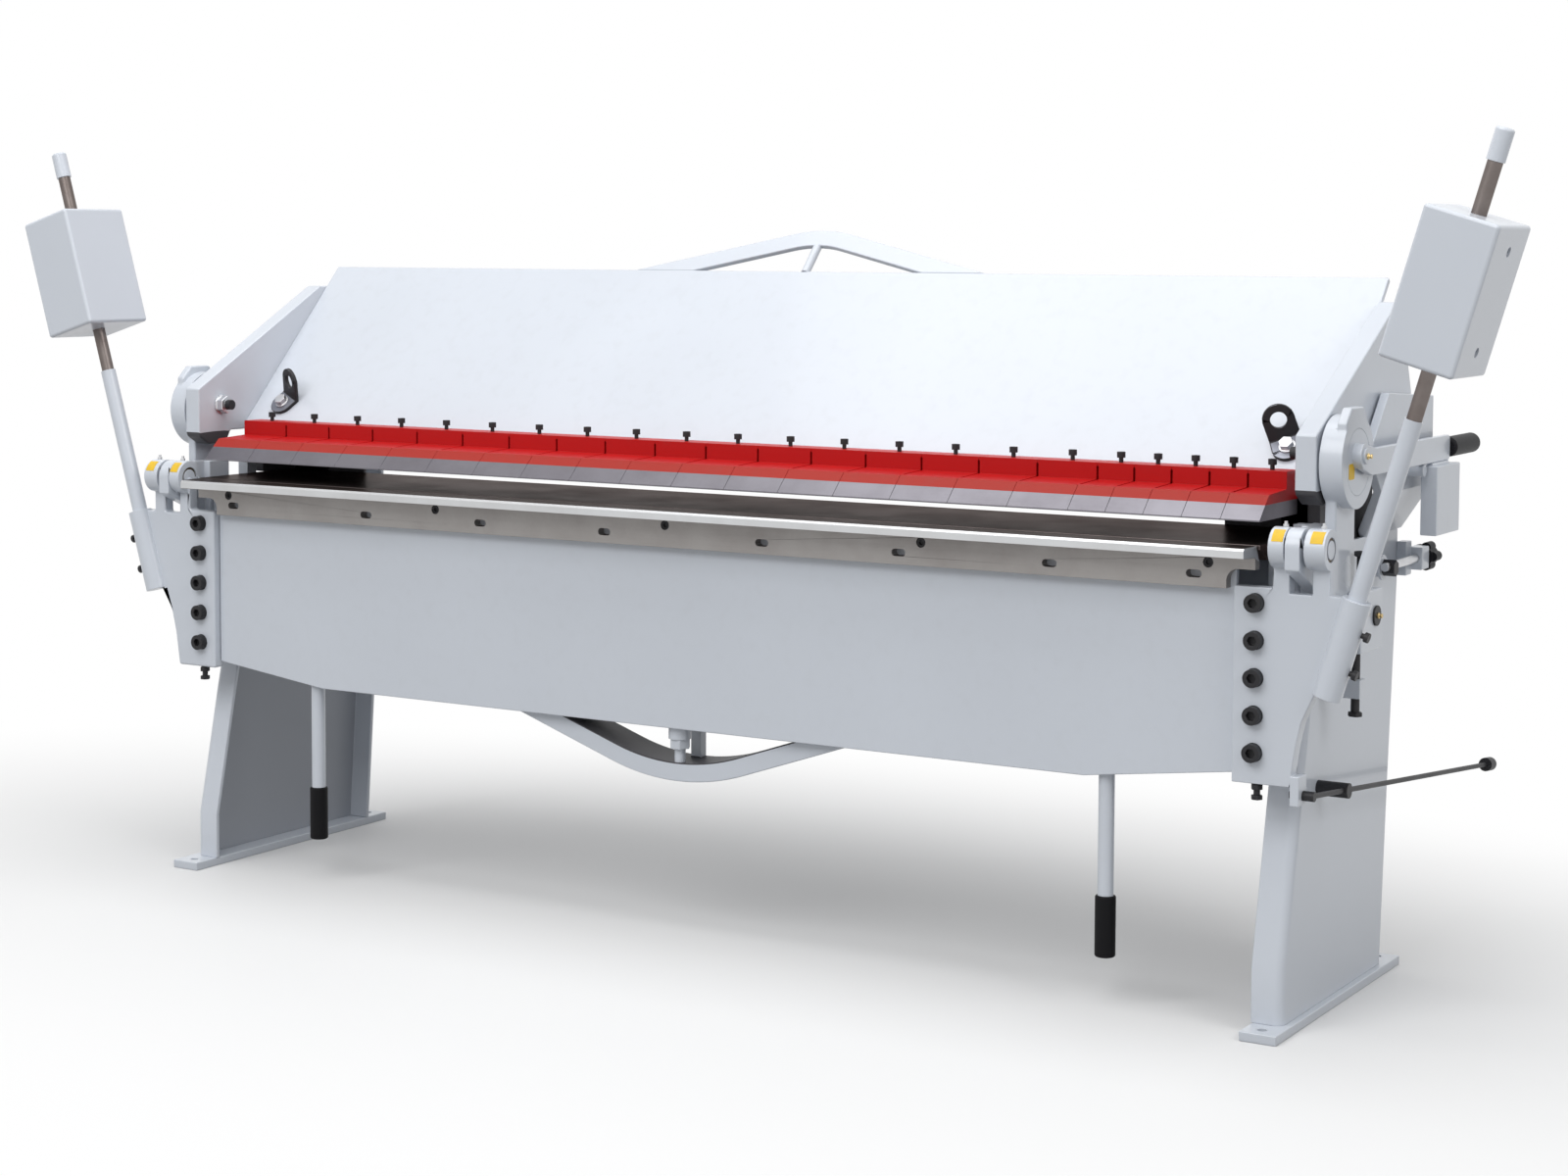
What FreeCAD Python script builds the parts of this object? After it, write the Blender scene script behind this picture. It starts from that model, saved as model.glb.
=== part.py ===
import FreeCAD, Part
import Sketcher
import math
import os
import re

# Box and pan brake: a hand folding machine for sheet metal, 2.5 m working length.
# Millimetres. X runs along the machine, Y to the back, Z up; the floor is Z = 0 and
# the machine is the same on both sides of X = 0, so right hand pieces are drawn and mirrored.

doc = FreeCAD.newDocument("BoxAndPanBrake")
sheet = doc.addObject("Spreadsheet::Sheet", "Dims")

# Sizes, and places counted from the floor or from the middle of the machine
sizes = {
    # Working length and the fold line
    "working_length": 2500,  # length of all fingers together
    "bed_top": 881,  # height of the bed surface and of the fold axis
    "fold_y": -296,  # fold axis, in front of the middle of the feet
    "knuckle_r": 36.5,  # outer radius of the hinge barrels
    "hinge_pin_r": 17,  # hinge pin radius
    "bush_wall": 5,  # bronze bush wall
    "bush_back": 3,  # bush behind the end of its barrel
    "running_gap": 0.06,  # radial clearance of a pin in its bush
    "seat_gap": 0.3,  # clearance between pieces that move past or rest on each other
    # Side frames and feet
    "web_t": 10,  # side frame plate
    "flange_w": 60,  # width of the bent flanges
    "bend_r": 20,  # outer bend radius of the side frame
    "frame_base_z": 18,  # bottom of the side frame on its foot plate
    "frame_toe_z": 117,  # top of the upright part of the front edge
    "frame_knee_z": 396,  # front edge, knee
    "frame_rear_mid_z": 401,  # rear edge half way up
    "foot_w": 70,  # foot plate width
    "foot_l": 660,  # foot plate length
    "anchor_hole_r": 9,  # floor bolt hole radius
    "anchor_y": 301.5,  # floor bolt, across the machine
    # Bed
    "bed_front_gap": 2,  # bed edge behind the fold axis
    "bed_depth": 310,  # bed bar, front to back
    "bed_bar_t": 30,  # bed bar thickness
    "bed_nose": 8,  # upright part of the bed edge
    "bed_bevel": 40,  # bevel under the bed edge
    "beam_h": 211,  # bed beam height
    "beam_wall": 12,  # bed beam wall
    "bed_screw_r": 8,  # bed screw radius
    "bed_screws_n": 8,  # number of bed screws
    "stop_block_l": 28,  # end block on the bed, along the machine
    "stop_block_h": 25,  # end block height
    "stop_block_w": 30,  # end block, front to back
    # Hinge
    "inner_barrel_l": 29,  # inner barrel length
    "block_l": 28,  # hinge block along the axis
    "outer_barrel_l": 38,  # outer barrel length
    # Apron
    "apron_t": 12,  # apron plate
    "box_wall": 6,  # apron box wall
    "rail_t": 20,  # stiffening rail behind the apron plate
    # Folding bar
    "lip_depth": 64,  # folding bar lip in front of the fold axis
    "lip_h": 14,  # height of the lip face
    "lip_bevel": 4,  # bevel on top of the lip
    "bar_end_r": 22,  # radius where the upright runs out
    "bar_screw_end": 89,  # outermost folding bar screws from the bar's ends
    "bar_screw_r": 9.5,  # folding bar screw head radius
    "bar_screw_head": 7,  # folding bar screw head height
    "slot_r": 7,  # half height of a slot
    "slot_l": 16,  # slot length between its round ends
    # Arms
    "arm_screw_pitch": 66.75,  # pitch of the arm screws
    "arm_screw_n": 5,  # arm screws per side
    "arm_screw_head_r": 16.5,  # arm screw head radius
    "arm_screw_sink": 4,  # depth of the counterbore
    "adjuster_l": 30,  # levelling screw below the arm
    "tab_w": 17,  # lug for the stop rod, width
    # Levers and counterweights
    "lean": 16.72,  # outward lean of the levers in degrees
    "socket_r": 26,  # socket radius
    "socket_below": 18,  # socket below the tube foot
    "socket_l": 182,  # socket length
    "tube_r": 16.5,  # lever tube radius
    "tube_l": 494,  # lever tube length
    "rod_r": 13.5,  # lever rod radius
    "rod_in": 120,  # rod inside its tube
    "rod_out": 458,  # rod above its tube
    "cap_r": 16.5,  # lever cap radius
    "cap_l": 58,  # lever cap length
    "weight_gap": 97,  # counterweight above the tube
    "weight_w": 136,  # counterweight across
    "weight_d": 180,  # counterweight front to back
    "weight_l": 268,  # counterweight along the rod
    "weight_r": 7,  # counterweight edge rounding
    "weight_screw_r": 9,  # clamping screw holes in the counterweight
    # Pull handles and lower truss
    "handle_r": 15,  # pull handle rod radius
    "grip_wall": 4.5,  # pull grip wall
    "bow_depth": 98,  # lower truss bow front to back
    "bow_half": 405,  # half span of the lower bow at the apron
    "bow_slope": 18.9,  # slope of the bow legs in degrees
    "bow_t": 38,  # bow bar thickness
    "bow_r": 490,  # outer radius at the middle of the bow
    "truss_r": 11.5,  # truss screw radius
    "truss_nut_af": 38,  # truss nut across flats
    "truss_nut_t": 20,  # truss nut thickness
    "truss_washer_r": 23.5,  # truss spacer radius
    "truss_washer_t": 25,  # truss spacer thickness
    # Clamping beam
    "panel_lean": 42.92,  # lean of the front panel from the upright in degrees
    "panel_h": 486,  # front panel along its slope
    "panel_t": 12,  # front panel thickness
    "end_t": 40,  # beam end plate
    "back_t": 10,  # rear plate thickness
    "arch_half": 439,  # half span of the upper arch
    "arch_slope": 16.7,  # slope of the arch legs in degrees
    "arch_w": 44,  # arch bar width
    "arch_r": 250,  # outer radius at the middle of the arch
    "arch_bolt_r": 9.5,  # arch bolt radius
    "pivot_r": 12.5,  # pivot pin radius
    "pivot_boss_r": 24,  # pivot collar radius
    "pivot_hex_af": 28,  # pivot hexagon across flats
    "setback_travel": 4,  # travel of the beam to the rear
    "leg_t": 24,  # beam leg thickness
    "leg_boss_r": 30,  # beam leg eye radius
    "eye_up": 58,  # lifting eye's bolt above the panel's bottom edge, along the slope
    "eye_hole_r": 15.5,  # lifting eye bore
    "eye_r": 30,  # radius of the lifting eye's round ends
    "eye_t": 8,  # lifting eye plate
    "eye_fold": 60,  # lifting eye, bend in degrees
    "eye_turn": 27,  # lifting eye, turn to the middle of the machine in degrees
    "eye_foot_l": 26,  # lifting eye, bolt to bend
    "eye_reach": 41,  # lifting eye, bend to bore
    "eye_bolt_af": 24,  # lifting eye bolt across flats
    "eye_bolt_h": 11,  # lifting eye bolt head
    "eye_washer_r": 16,  # lifting eye washer
    "eye_washer_t": 3,  # lifting eye washer thickness
    # Fingers
    "wide_w": 125,  # wide finger
    "wide_n": 17,  # number of wide fingers
    "narrow_w": 75,  # narrow finger
    "finger_gap": 0.6,  # gap between fingers
    "nose_h": 3,  # blunt height of the nose
    "notch_w": 1.8,  # relief notch in each side of a finger, depth
    "notch_top": 7,  # relief notch below the top of the finger
    "finger_screw_head_r": 8,  # finger screw head radius
    "finger_screw_head_h": 11,  # finger screw head height
    "finger_screw_r": 4.2,  # finger screw shank radius
    "finger_screw_up": 20,  # finger screw above the finger
    # Clamping drive
    "hub_r": 14,  # hub stud radius
    "nut_af": 36,  # hub stud nut across flats
    "nut_t": 20,  # hub stud nut
    "throw": 12,  # eccentric offset, both ways
    "eccentric_r": 60,  # eccentric radius
    "disc_r": 84,  # big end radius
    "ear_t": 19,  # thickness of the ear on top of the big end
    "disc_t": 43,  # big end thickness
    "neck_t": 21,  # connecting rod neck thickness
    "bar_t": 12,  # clamp lever bar
    "lever_block_t": 32,  # weight on the clamp lever, thickness
    "clamp_grip_r": 19.5,  # clamp lever grip radius
    "clamp_grip_l": 150,  # clamp lever grip length
    "stop_pin_r": 11.5,  # stop pin radius
    "anchor_pin_r": 12,  # lower pin radius
    "fork_half": 38,  # rod anchor beyond the middle of the neck
    "adjuster_af": 24,  # clamp adjuster across flats
    "anchor_slack": 1.5,  # slack of the rod's lower eye
    "anchor_float": 12,  # length of the rod's lower slot
    "cheek_t": 17,  # guide cheek
    # Setback adjusters and stop rod
    "screw_r": 8,  # setback screw radius
    "block_w": 28,  # setback block width
    "setback_block_l": 42,  # setback block along its screw
    "setback_knob_r": 28.5,  # setback knob radius
    "setback_knob_l": 38,  # setback knob length
    "lobes": 5,  # lobes on the knobs
    "stud_r": 14,  # stop rod stud radius
    "stop_rod_r": 4.8,  # stop rod radius
    "stop_rod_l": 1020,  # stop rod length
    "rod_knob_r": 14,  # stop rod knob radius
}
# Places along the machine, counted outwards from the end of the fingers
beyond_fingers = {
    # Side frames and feet
    "web_x": 50,  # outer face of the side frame web
    "foot_x": 27.6,  # middle of the foot plate
    "anchor_x": 26,  # floor bolt, along the machine
    # Bed
    "bed_bar_half": 6,  # half length of the bed bar
    # Hinge
    "inner_barrel_x": 34,  # inner end of the inner barrel
    "block_x": 65,  # inner face of the hinge block
    "outer_barrel_x": 100,  # inner end of the outer barrel
    # Apron
    "apron_half": -42,  # half length of the apron plate
    "apron_corner_x": -338,  # where the bottom edge starts to rise
    "box_half": -55,  # half length of the apron box
    "rail_half": 40,  # half length of the stiffening rail
    # Folding bar
    "fold_bar_half": 1,  # half length of the folding bar
    "bar_end_x": -53,  # end of the upright part
    # Arms
    "arm_inner_x": -40,  # inner edge of the arms
    "arm_foot_x": 68,  # outer bottom corner
    "arm_waist_x": 89,  # outer edge half way up to the socket
    "lug_in_x": 32,  # inner side of the inner lug
    "arm_screw_x": 0.4,  # arm screws along the machine
    "adjuster_x": 3,  # levelling screw under the arm
    "tab_x": 69,  # lug for the stop rod, inner face
    # Levers and counterweights
    "lever_foot_x": 138.9,  # foot of the lever tube
    # Pull handles and lower truss
    "handle_x": -302,  # pull handles from the middle
    # Clamping beam
    "panel_half": 50,  # half length of the front panel
    "leg_x": 12,  # inner face of the beam legs
    "leg_inner_x": -195,  # inner end of the leg fronts
    "eye_x": -35,  # bolts of the lifting eyes
    # Clamping drive
    "disc_x": 94,  # inner face of the big end
    "bar_x": 142,  # inner face of the clamp lever bar
    "lever_block_x": 138,  # inner face of the weight on the clamp lever
    "stop_pin_end_x": 152,  # outer end of the stop pin
    "cheek_x": 95,  # inner face of the guide cheeks
    # Setback adjusters and stop rod
    "screw_x": 80,  # setback screw
    "rod_x": 101,  # stop rod
}
# Places across the machine, counted backwards from the fold axis
behind_fold = {
    # Side frames and feet
    "frame_front_y": 28,  # front edge at the foot
    "frame_knee_y": 89,  # front edge, knee
    "frame_neck_y": 146,  # front edge, rearmost point
    "frame_horn_y": 81,  # front edge under the hinge block
    "frame_rear_low_y": 558,  # rear edge at the foot
    "frame_rear_mid_y": 589,  # rear edge half way up
    "frame_rear_top_y": 622,  # rear edge at the top
    # Bed
    "beam_front_y": 158,  # bed beam front
    "beam_rear_y": 306,  # bed beam rear
    # Hinge
    "block_rear_y": 146,  # rear of the hinge block
    # Apron
    "apron_front_y": 13,  # front face of the apron plate
    "box_rear_y": 131,  # rear of the apron box
    # Folding bar
    "bar_web_front_y": -8,  # front of the folding bar's upright
    # Arms
    "arm_front_y": -4,  # front face of the arms
    # Pull handles and lower truss
    "handle_y": 40.5,  # pull handles, front to back
    "bow_front_y": 34,  # front face of the lower truss bow
    "truss_y": 49,  # truss screw, front to back
    # Clamping beam
    "panel_low_y": 198,  # front panel, bottom edge
    "end_front_y": 48,  # front of the end plates
    "rail_rear_y": 251,  # rear of the finger rail
    "back_y": 486,  # rear plate of the beam
    "pivot_y": 471,  # rear pivot of the beam
    "leg_front_y": 326,  # leg front plate
    "leg_toe_y": 216,  # front end of the legs, under the finger rail
    # Fingers
    "nose_y": 13,  # finger nose
    "steel_y": 39,  # top of the bare nose
    "shoulder_y": 57,  # top of the bevel
    "upright_y": 142,  # front of the finger's upright
    "finger_back_y": 196,  # rear of the fingers
    "finger_screw_y": 166,  # finger screws
    # Clamping drive
    "hub_y": 120,  # lever hub
    "neck_front_y": 81,  # neck front edge
    "neck_rear_y": 181,  # neck rear edge
    "bar_rear_y": 596,  # rear end of the clamp lever bar
    "lever_block_front_y": 473,  # weight on the clamp lever, front
    "lever_block_rear_y": 609,  # weight on the clamp lever, rear
    "stop_pin_y": 453,  # stop pin under the clamp lever
    "anchor_pin_y": 222,  # lower pin of the connecting rod
    "cheek_rear_y": 620,  # guide cheek rear edge
    "cheek_front_y": 282,  # guide cheek front corner
    # Setback adjusters and stop rod
    "screw_front_y": 446,  # front end of the setback screw
    "block_y": 624,  # setback block front
    "stud_y": 191,  # stop rod stud
    "rod_pivot_y": 19,  # stop rod pivot
}
# Heights, counted upwards from the bed surface and the fold axis
above_bed = {
    # Side frames and feet
    "frame_neck_z": -241,  # front edge, rearmost point
    "frame_horn_z": -91,  # front edge under the hinge block
    "frame_top_z": -19,  # top of the web
    "frame_rear_top_z": -122,  # rear edge at the top
    # Hinge
    "block_top": 31,  # top of the hinge block behind the barrel
    # Apron
    "apron_low_z": -447,  # bottom edge of the apron plate
    "apron_end_z": -410,  # bottom edge at the ends
    "apron_top_z": -24,  # top edge of the apron plate, behind the folding bar
    "box_top_z": -281,  # top of the apron box
    "rail_top_z": -91,  # top of the stiffening rail
    "pad_low_z": -401,  # bottom of the end pads behind the arms
    # Folding bar
    "fold_bar_top": -0.5,  # top of the folding bar
    "bar_web_top_z": -22,  # underside of the lip at the upright
    "bar_back_top_z": -31,  # top of the upright's rear face
    "bar_low_z": -79,  # bottom of the folding bar
    "bar_end_z": -43,  # underside of the bar over the arms
    "bar_screw_z": -34,  # height of the folding bar screws
    "slot_z": -56,  # height of the adjusting slots
    # Arms
    "arm_low_z": -424,  # bottom of the arms
    "arm_top_z": -73,  # top of the arms
    "arm_waist_z": -306,  # outer edge half way up to the socket
    "window_low_z": -81,  # bottom of the window between the lugs
    "arm_screw_top_z": -101,  # uppermost arm screw
    "tab_low_z": -457,  # bottom of the stop rod lug
    # Levers and counterweights
    "lever_foot_z": -241,  # foot of the lever tube
    # Pull handles and lower truss
    "grip_top_z": -671,  # top of the pull grip
    "grip_low_z": -786,  # bottom of the pull grip
    # Clamping beam
    "panel_low_z": 112,  # front panel, bottom edge
    "end_low_z": 97,  # bottom of the end plates
    "end_front_z": 195,  # top of their upright front edge
    "end_top_z": 422,  # top of the end plates
    "leg_bend_z": -15,  # bottom of the legs at their front plate
    "rail_low_z": 74,  # bottom of the finger rail
    "back_low_z": 104,  # bottom of the rear plate
    "pivot_z": -81,  # rear pivot of the beam
    # Fingers
    "finger_low_z": 40,  # underside of the fingers
    "steel_z": 68,  # top of the bare nose
    "shoulder_z": 85,  # top of the bevel
    "upright_low_z": 89,  # foot of the finger's upright
    "upright_top_z": 121,  # top of the finger's upright
    # Clamping drive
    "hub_z": 157,  # lever hub
    "ear_top_z": 243,  # top of the big end's ear
    "bar_top_z": 168,  # top of the clamp lever bar
    "bar_bottom_z": 120,  # bottom of the clamp lever bar
    "lever_block_low_z": -16,  # weight on the clamp lever, bottom
    "anchor_pin_z": -139,  # lower pin of the connecting rod
    "cheek_bend_z": 71,  # where the guide cheek turns upright
    # Setback adjusters and stop rod
    "screw_z": -78,  # setback screw
    "stud_z": -458,  # stop rod stud
    "rod_pivot_z": -440,  # stop rod pivot
}

row = 0
for group in (sizes, beyond_fingers, behind_fold, above_bed):
    for alias, value in group.items():
        row += 1
        sheet.set(f"A{row}", alias)
        sheet.set(f"B{row}", str(value))
        sheet.setAlias(f"B{row}", alias)

doc.recompute()
origins = {"beyond_fingers": "(Dims.working_length / 2 + Dims.{})", "behind_fold": "(Dims.fold_y + Dims.{})",
           "above_bed": "(Dims.bed_top + Dims.{})"}
cells = {alias: "Dims." + alias for alias in sizes}
cells.update({alias: origins["beyond_fingers"].format(alias) for alias in beyond_fingers})
cells.update({alias: origins["behind_fold"].format(alias) for alias in behind_fold})
cells.update({alias: origins["above_bed"].format(alias) for alias in above_bed})
words = re.compile(r"\b(" + "|".join(sorted(cells, key=len, reverse=True)) + r")\b")


def spelled(formula):
    # A formula in the names above, written out for the sheet's cells.
    return words.sub(lambda found: cells[found.group()], str(formula))


def number(formula):
    # The value of a formula, as a plain number.
    answer = sheet.evalExpression(spelled(formula))
    return float(getattr(answer, "Value", answer))


def bind(thing, prop, formula):
    # Ties a property of an object to a formula in the sheet's names.
    thing.setExpression(prop, spelled(formula))


def sketch(body, plane, offset, name):
    # An empty sketch on one of the body's own planes, moved along the plane's normal.
    drawing = body.newObject("Sketcher::SketchObject", name)
    origin = [f for f in body.Origin.OriginFeatures if f.Role == plane][0]
    drawing.AttachmentSupport = [(origin, "")]
    drawing.MapMode = "FlatFace"
    bind(drawing, "AttachmentOffset.Base.z", offset)
    return drawing


def fix_point(drawing, geometry, which, spot, place):
    # Holds one point of a sketch at a pair of formulas.
    for kind, formula, value in (("DistanceX", spot[0], place.x), ("DistanceY", spot[1], place.y)):
        index = drawing.addConstraint(Sketcher.Constraint(kind, -1, 1, geometry, which, value))
        bind(drawing, f"Constraints[{index}]", formula)


def draw_loop(drawing, corners):
    # A closed outline of straight lines through corners given as formulas.
    spots = [FreeCAD.Vector(number(u), number(v), 0) for u, v in corners]
    first = drawing.GeometryCount
    count = len(spots)
    for i in range(count):
        drawing.addGeometry(Part.LineSegment(spots[i], spots[(i + 1) % count]))
    for i in range(count):
        following = first + (i + 1) % count
        drawing.addConstraint(Sketcher.Constraint("Coincident", first + i, 2, following, 1))
        fix_point(drawing, first + i, 1, corners[i], spots[i])


def draw_circle(drawing, centre, radius):
    spot = FreeCAD.Vector(number(centre[0]), number(centre[1]), 0)
    index = drawing.addGeometry(Part.Circle(spot, FreeCAD.Vector(0, 0, 1), number(radius)))
    rule = drawing.addConstraint(Sketcher.Constraint("Radius", index, number(radius)))
    bind(drawing, f"Constraints[{rule}]", radius)
    fix_point(drawing, index, 3, centre, spot)


def slab(label, plane, start, length, corners):
    # A plate: an outline on a plane, padded from start along the plane's normal.
    body = doc.addObject("PartDesign::Body", label)
    drawing = sketch(body, plane, start, label + "_outline")
    draw_loop(drawing, corners)
    pad = body.newObject("PartDesign::Pad", label + "_pad")
    pad.Profile = drawing
    bind(pad, "Length", length)
    body.Tip = pad
    return body


def across(label, x_from, x_to, corners):
    # Outline in (Y, Z), thickness along X.
    return slab(label, "YZ_Plane", x_from, f"{x_to} - ({x_from})", corners)


def facing(label, y_front, y_rear, corners):
    # Outline in (X, Z), thickness along Y.
    return slab(label, "XZ_Plane", f"-({y_rear})", f"{y_rear} - ({y_front})", corners)


def pocket(body, plane, offset, length, draw):
    # Cuts into a body to both sides of a plane; draw fills the sketch.
    before = body.Tip
    drawing = sketch(body, plane, offset, body.Name + "_cut")
    draw(drawing)
    cut = body.newObject("PartDesign::Pocket", body.Name + "_pocket")
    cut.Profile = drawing
    cut.Midplane = True
    bind(cut, "Length", length)
    body.Tip = cut
    doc.recompute()
    if not cut.Shape.Volume < before.Shape.Volume:
        raise RuntimeError(f"{body.Name}: the pocket cuts nothing")
    return cut


def round_edges(body, radius, wanted):
    # Rounds the edges of the body's tip for which wanted(edge) is true.
    doc.recompute()
    base = body.Tip
    names = [f"Edge{i + 1}" for i, edge in enumerate(base.Shape.Edges) if wanted(edge)]
    fillet = body.newObject("PartDesign::Fillet", body.Name + "_round")
    fillet.Base = (base, names)
    bind(fillet, "Radius", radius)
    body.Tip = fillet
    return fillet


def block(label, low, high):
    # A box between two corners given as formulas.
    box = doc.addObject("Part::Box", label)
    for side, axis, a, b in zip(("Length", "Width", "Height"), "xyz", low, high):
        bind(box, side, f"{b} - ({a})")
        bind(box, f"Placement.Base.{axis}", a)
    return box


AXES = {"x": ((0, 1, 0), 90), "y": ((1, 0, 0), -90), "z": ((0, 0, 1), 0)}


def bar(label, axis, start, end, at, radius):
    # A round bar along one axis from start to end; at is its place on the other two axes.
    rod = doc.addObject("Part::Cylinder", label)
    direction, angle = AXES[axis]
    turned = FreeCAD.Rotation(FreeCAD.Vector(*direction), angle)
    rod.Placement = FreeCAD.Placement(FreeCAD.Vector(), turned)
    places = list(at)
    for name in "xyz":
        bind(rod, f"Placement.Base.{name}", start if name == axis else places.pop(0))
    bind(rod, "Height", f"{end} - ({start})")
    bind(rod, "Radius", radius)
    return rod


def hexagon(label, axis, start, end, at, flats):
    # A hexagonal bar along one axis.
    prism = doc.addObject("Part::Prism", label)
    direction, angle = AXES[axis]
    turned = FreeCAD.Rotation(FreeCAD.Vector(*direction), angle)
    prism.Placement = FreeCAD.Placement(FreeCAD.Vector(), turned)
    prism.Polygon = 6
    places = list(at)
    for name in "xyz":
        bind(prism, f"Placement.Base.{name}", start if name == axis else places.pop(0))
    bind(prism, "Height", f"{end} - ({start})")
    bind(prism, "Circumradius", f"{flats} / (2 * cos(30 deg))")
    return prism


def lever_bar(label, start, end, radius, lift="0"):
    # A round bar on the leaning axis of the right hand lever.
    rod = doc.addObject("Part::Cylinder", label)
    upright = FreeCAD.Rotation(FreeCAD.Vector(0, 1, 0), number("lean"))
    rod.Placement = FreeCAD.Placement(FreeCAD.Vector(), upright)
    bind(rod, "Placement.Rotation.Angle", "lean * 1 deg")
    bind(rod, "Placement.Base.x", f"lever_foot_x + ({start}) * sin(lean * 1 deg)")
    bind(rod, "Placement.Base.y", "fold_y")
    bind(rod, "Placement.Base.z", f"lever_foot_z + ({start}) * cos(lean * 1 deg)")
    bind(rod, "Height", f"{end} - ({start})")
    bind(rod, "Radius", radius)
    return rod


def fuse(label, pieces):
    joined = doc.addObject("Part::MultiFuse", label)
    joined.Shapes = pieces
    joined.Refine = True
    return joined


def cut(label, base, tools):
    # Takes one tool, or several joined in a compound, out of a piece.
    taken = doc.addObject("Part::Cut", label)
    taken.Base = base
    taken.Tool = tools[0] if len(tools) == 1 else group(label + "_tools", tools)
    return taken


def group(label, pieces):
    # Several separate solids of one kind.
    kept = doc.addObject("Part::Compound", label)
    kept.Links = pieces
    return kept


def mirror(label, piece):
    # The left hand copy of a right hand piece.
    copy = doc.addObject("Part::Mirroring", label)
    copy.Source = piece
    copy.Base = FreeCAD.Vector(0, 0, 0)
    copy.Normal = FreeCAD.Vector(1, 0, 0)
    return copy


def both(label, piece):
    return group(label, [piece, mirror(label + "_left_hand", piece)])


def rounded(label, piece, radius, wanted):
    # A Part fillet on the edges of a piece for which wanted(edge) is true.
    doc.recompute()
    edges = [i + 1 for i, edge in enumerate(piece.Shape.Edges) if wanted(edge)]
    fillet = doc.addObject("Part::Fillet", label)
    fillet.Base = piece
    fillet.Edges = [(i, number(radius), number(radius)) for i in edges]
    return fillet


def along(edge, axis):
    # True for a straight edge that runs along a coordinate axis.
    if edge.Curve.TypeId != "Part::GeomLine":
        return False
    step = edge.Vertexes[1].Point - edge.Vertexes[0].Point
    others = [abs(part) for name, part in zip("xyz", (step.x, step.y, step.z)) if name != axis]
    return max(others) < 1e-4


nodes = []


def node(piece):
    nodes.append(piece)
    return piece


# Side frames: plate bent to a channel, open towards the middle of the machine
front_edge = [
    ("frame_front_y", "frame_base_z"),
    ("frame_front_y", "frame_toe_z"),
    ("frame_knee_y", "frame_knee_z"),
    ("frame_neck_y", "frame_neck_z"),
    ("frame_horn_y", "frame_horn_z"),
    ("frame_horn_y", "frame_top_z"),
]
rear_edge = [
    ("frame_rear_top_y", "frame_top_z"),
    ("frame_rear_top_y", "frame_rear_top_z"),
    ("frame_rear_mid_y", "frame_rear_mid_z"),
    ("frame_rear_low_y", "frame_base_z"),
]
frame_right = across("side_frame_right", "web_x - flange_w", "web_x", front_edge + rear_edge)
inside = [(f"{y} + web_t", z) for y, z in front_edge] + [(f"{y} - web_t", z) for y, z in rear_edge]
inside[0] = (inside[0][0], "frame_base_z - web_t")
inside[5] = (inside[5][0], "frame_top_z + web_t")
inside[6] = (inside[6][0], "frame_top_z + web_t")
inside[9] = (inside[9][0], "frame_base_z - web_t")
pocket(frame_right, "YZ_Plane", "web_x - web_t - flange_w", "2 * flange_w",
       lambda drawing: draw_loop(drawing, inside))


def frame_bend(edge):
    # Outer corner edges along the front and the rear of the channel.
    if abs(edge.BoundBox.XMin - number("web_x")) > 0.01 or edge.BoundBox.ZLength < 1:
        return False
    return edge.BoundBox.XLength < 0.01


round_edges(frame_right, "bend_r", frame_bend)
bed_low = "bed_top - bed_bar_t"
pocket(frame_right, "YZ_Plane", "web_x - web_t - flange_w", "2 * flange_w", lambda drawing: draw_loop(drawing, [
    ("frame_horn_y - web_t", bed_low),
    ("frame_horn_y + 2 * web_t", bed_low),
    ("frame_horn_y + 2 * web_t", "frame_top_z + web_t"),
    ("frame_horn_y - web_t", "frame_top_z + web_t"),
]))


def frame_holes(drawing):
    # Slot for the beam's pivot pin, long enough for the setback travel.
    reach = "(pivot_r + seat_gap)"
    draw_loop(drawing, [
        (f"pivot_y - {reach}", f"pivot_z - {reach}"),
        (f"pivot_y + setback_travel + {reach}", f"pivot_z - {reach}"),
        (f"pivot_y + setback_travel + {reach}", f"pivot_z + {reach}"),
        (f"pivot_y - {reach}", f"pivot_z + {reach}"),
    ])


pocket(frame_right, "YZ_Plane", "web_x", "3 * web_t", frame_holes)
node(frame_right)
node(mirror("side_frame_left", frame_right))

# Foot plates under the side frames, with floor bolt holes
foot = block("foot_plate", ("foot_x - foot_w / 2", "-foot_l / 2", "0"),
             ("foot_x + foot_w / 2", "foot_l / 2", "frame_base_z"))
foot_holes = [bar(f"foot_hole_{i}", "z", "-1", "frame_base_z + 1", ("anchor_x", y), "anchor_hole_r")
              for i, y in enumerate(("-anchor_y", "anchor_y"))]
node(both("foot_plates", cut("foot_plate_right", foot, foot_holes)))

# Bed: a welded beam between the side frames, and the hard bar on top of it
beam = block("bed_beam_outside", ("-(web_x - web_t)", "beam_front_y", f"{bed_low} - beam_h"),
             ("web_x - web_t", "beam_rear_y", bed_low))
hollow = block("bed_beam_inside", ("-(web_x)", "beam_front_y + beam_wall", f"{bed_low} - beam_h + beam_wall"),
               ("web_x", "beam_rear_y - beam_wall", f"{bed_low} - beam_wall"))
screw_places = [f"bed_bar_half * ({2 * i + 1} / bed_screws_n - 1)" for i in range(int(number("bed_screws_n")))]
bed_screw_holes = [bar(f"bed_screw_hole_{i}", "z", f"{bed_low} - 2 * beam_wall", f"{bed_low} + 1",
                       (x, "(beam_front_y + beam_rear_y) / 2"), "bed_screw_r + seat_gap")
                   for i, x in enumerate(screw_places)]
node(cut("bed_beam", beam, [hollow] + bed_screw_holes))
bed_edge = "fold_y + bed_front_gap"
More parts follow.
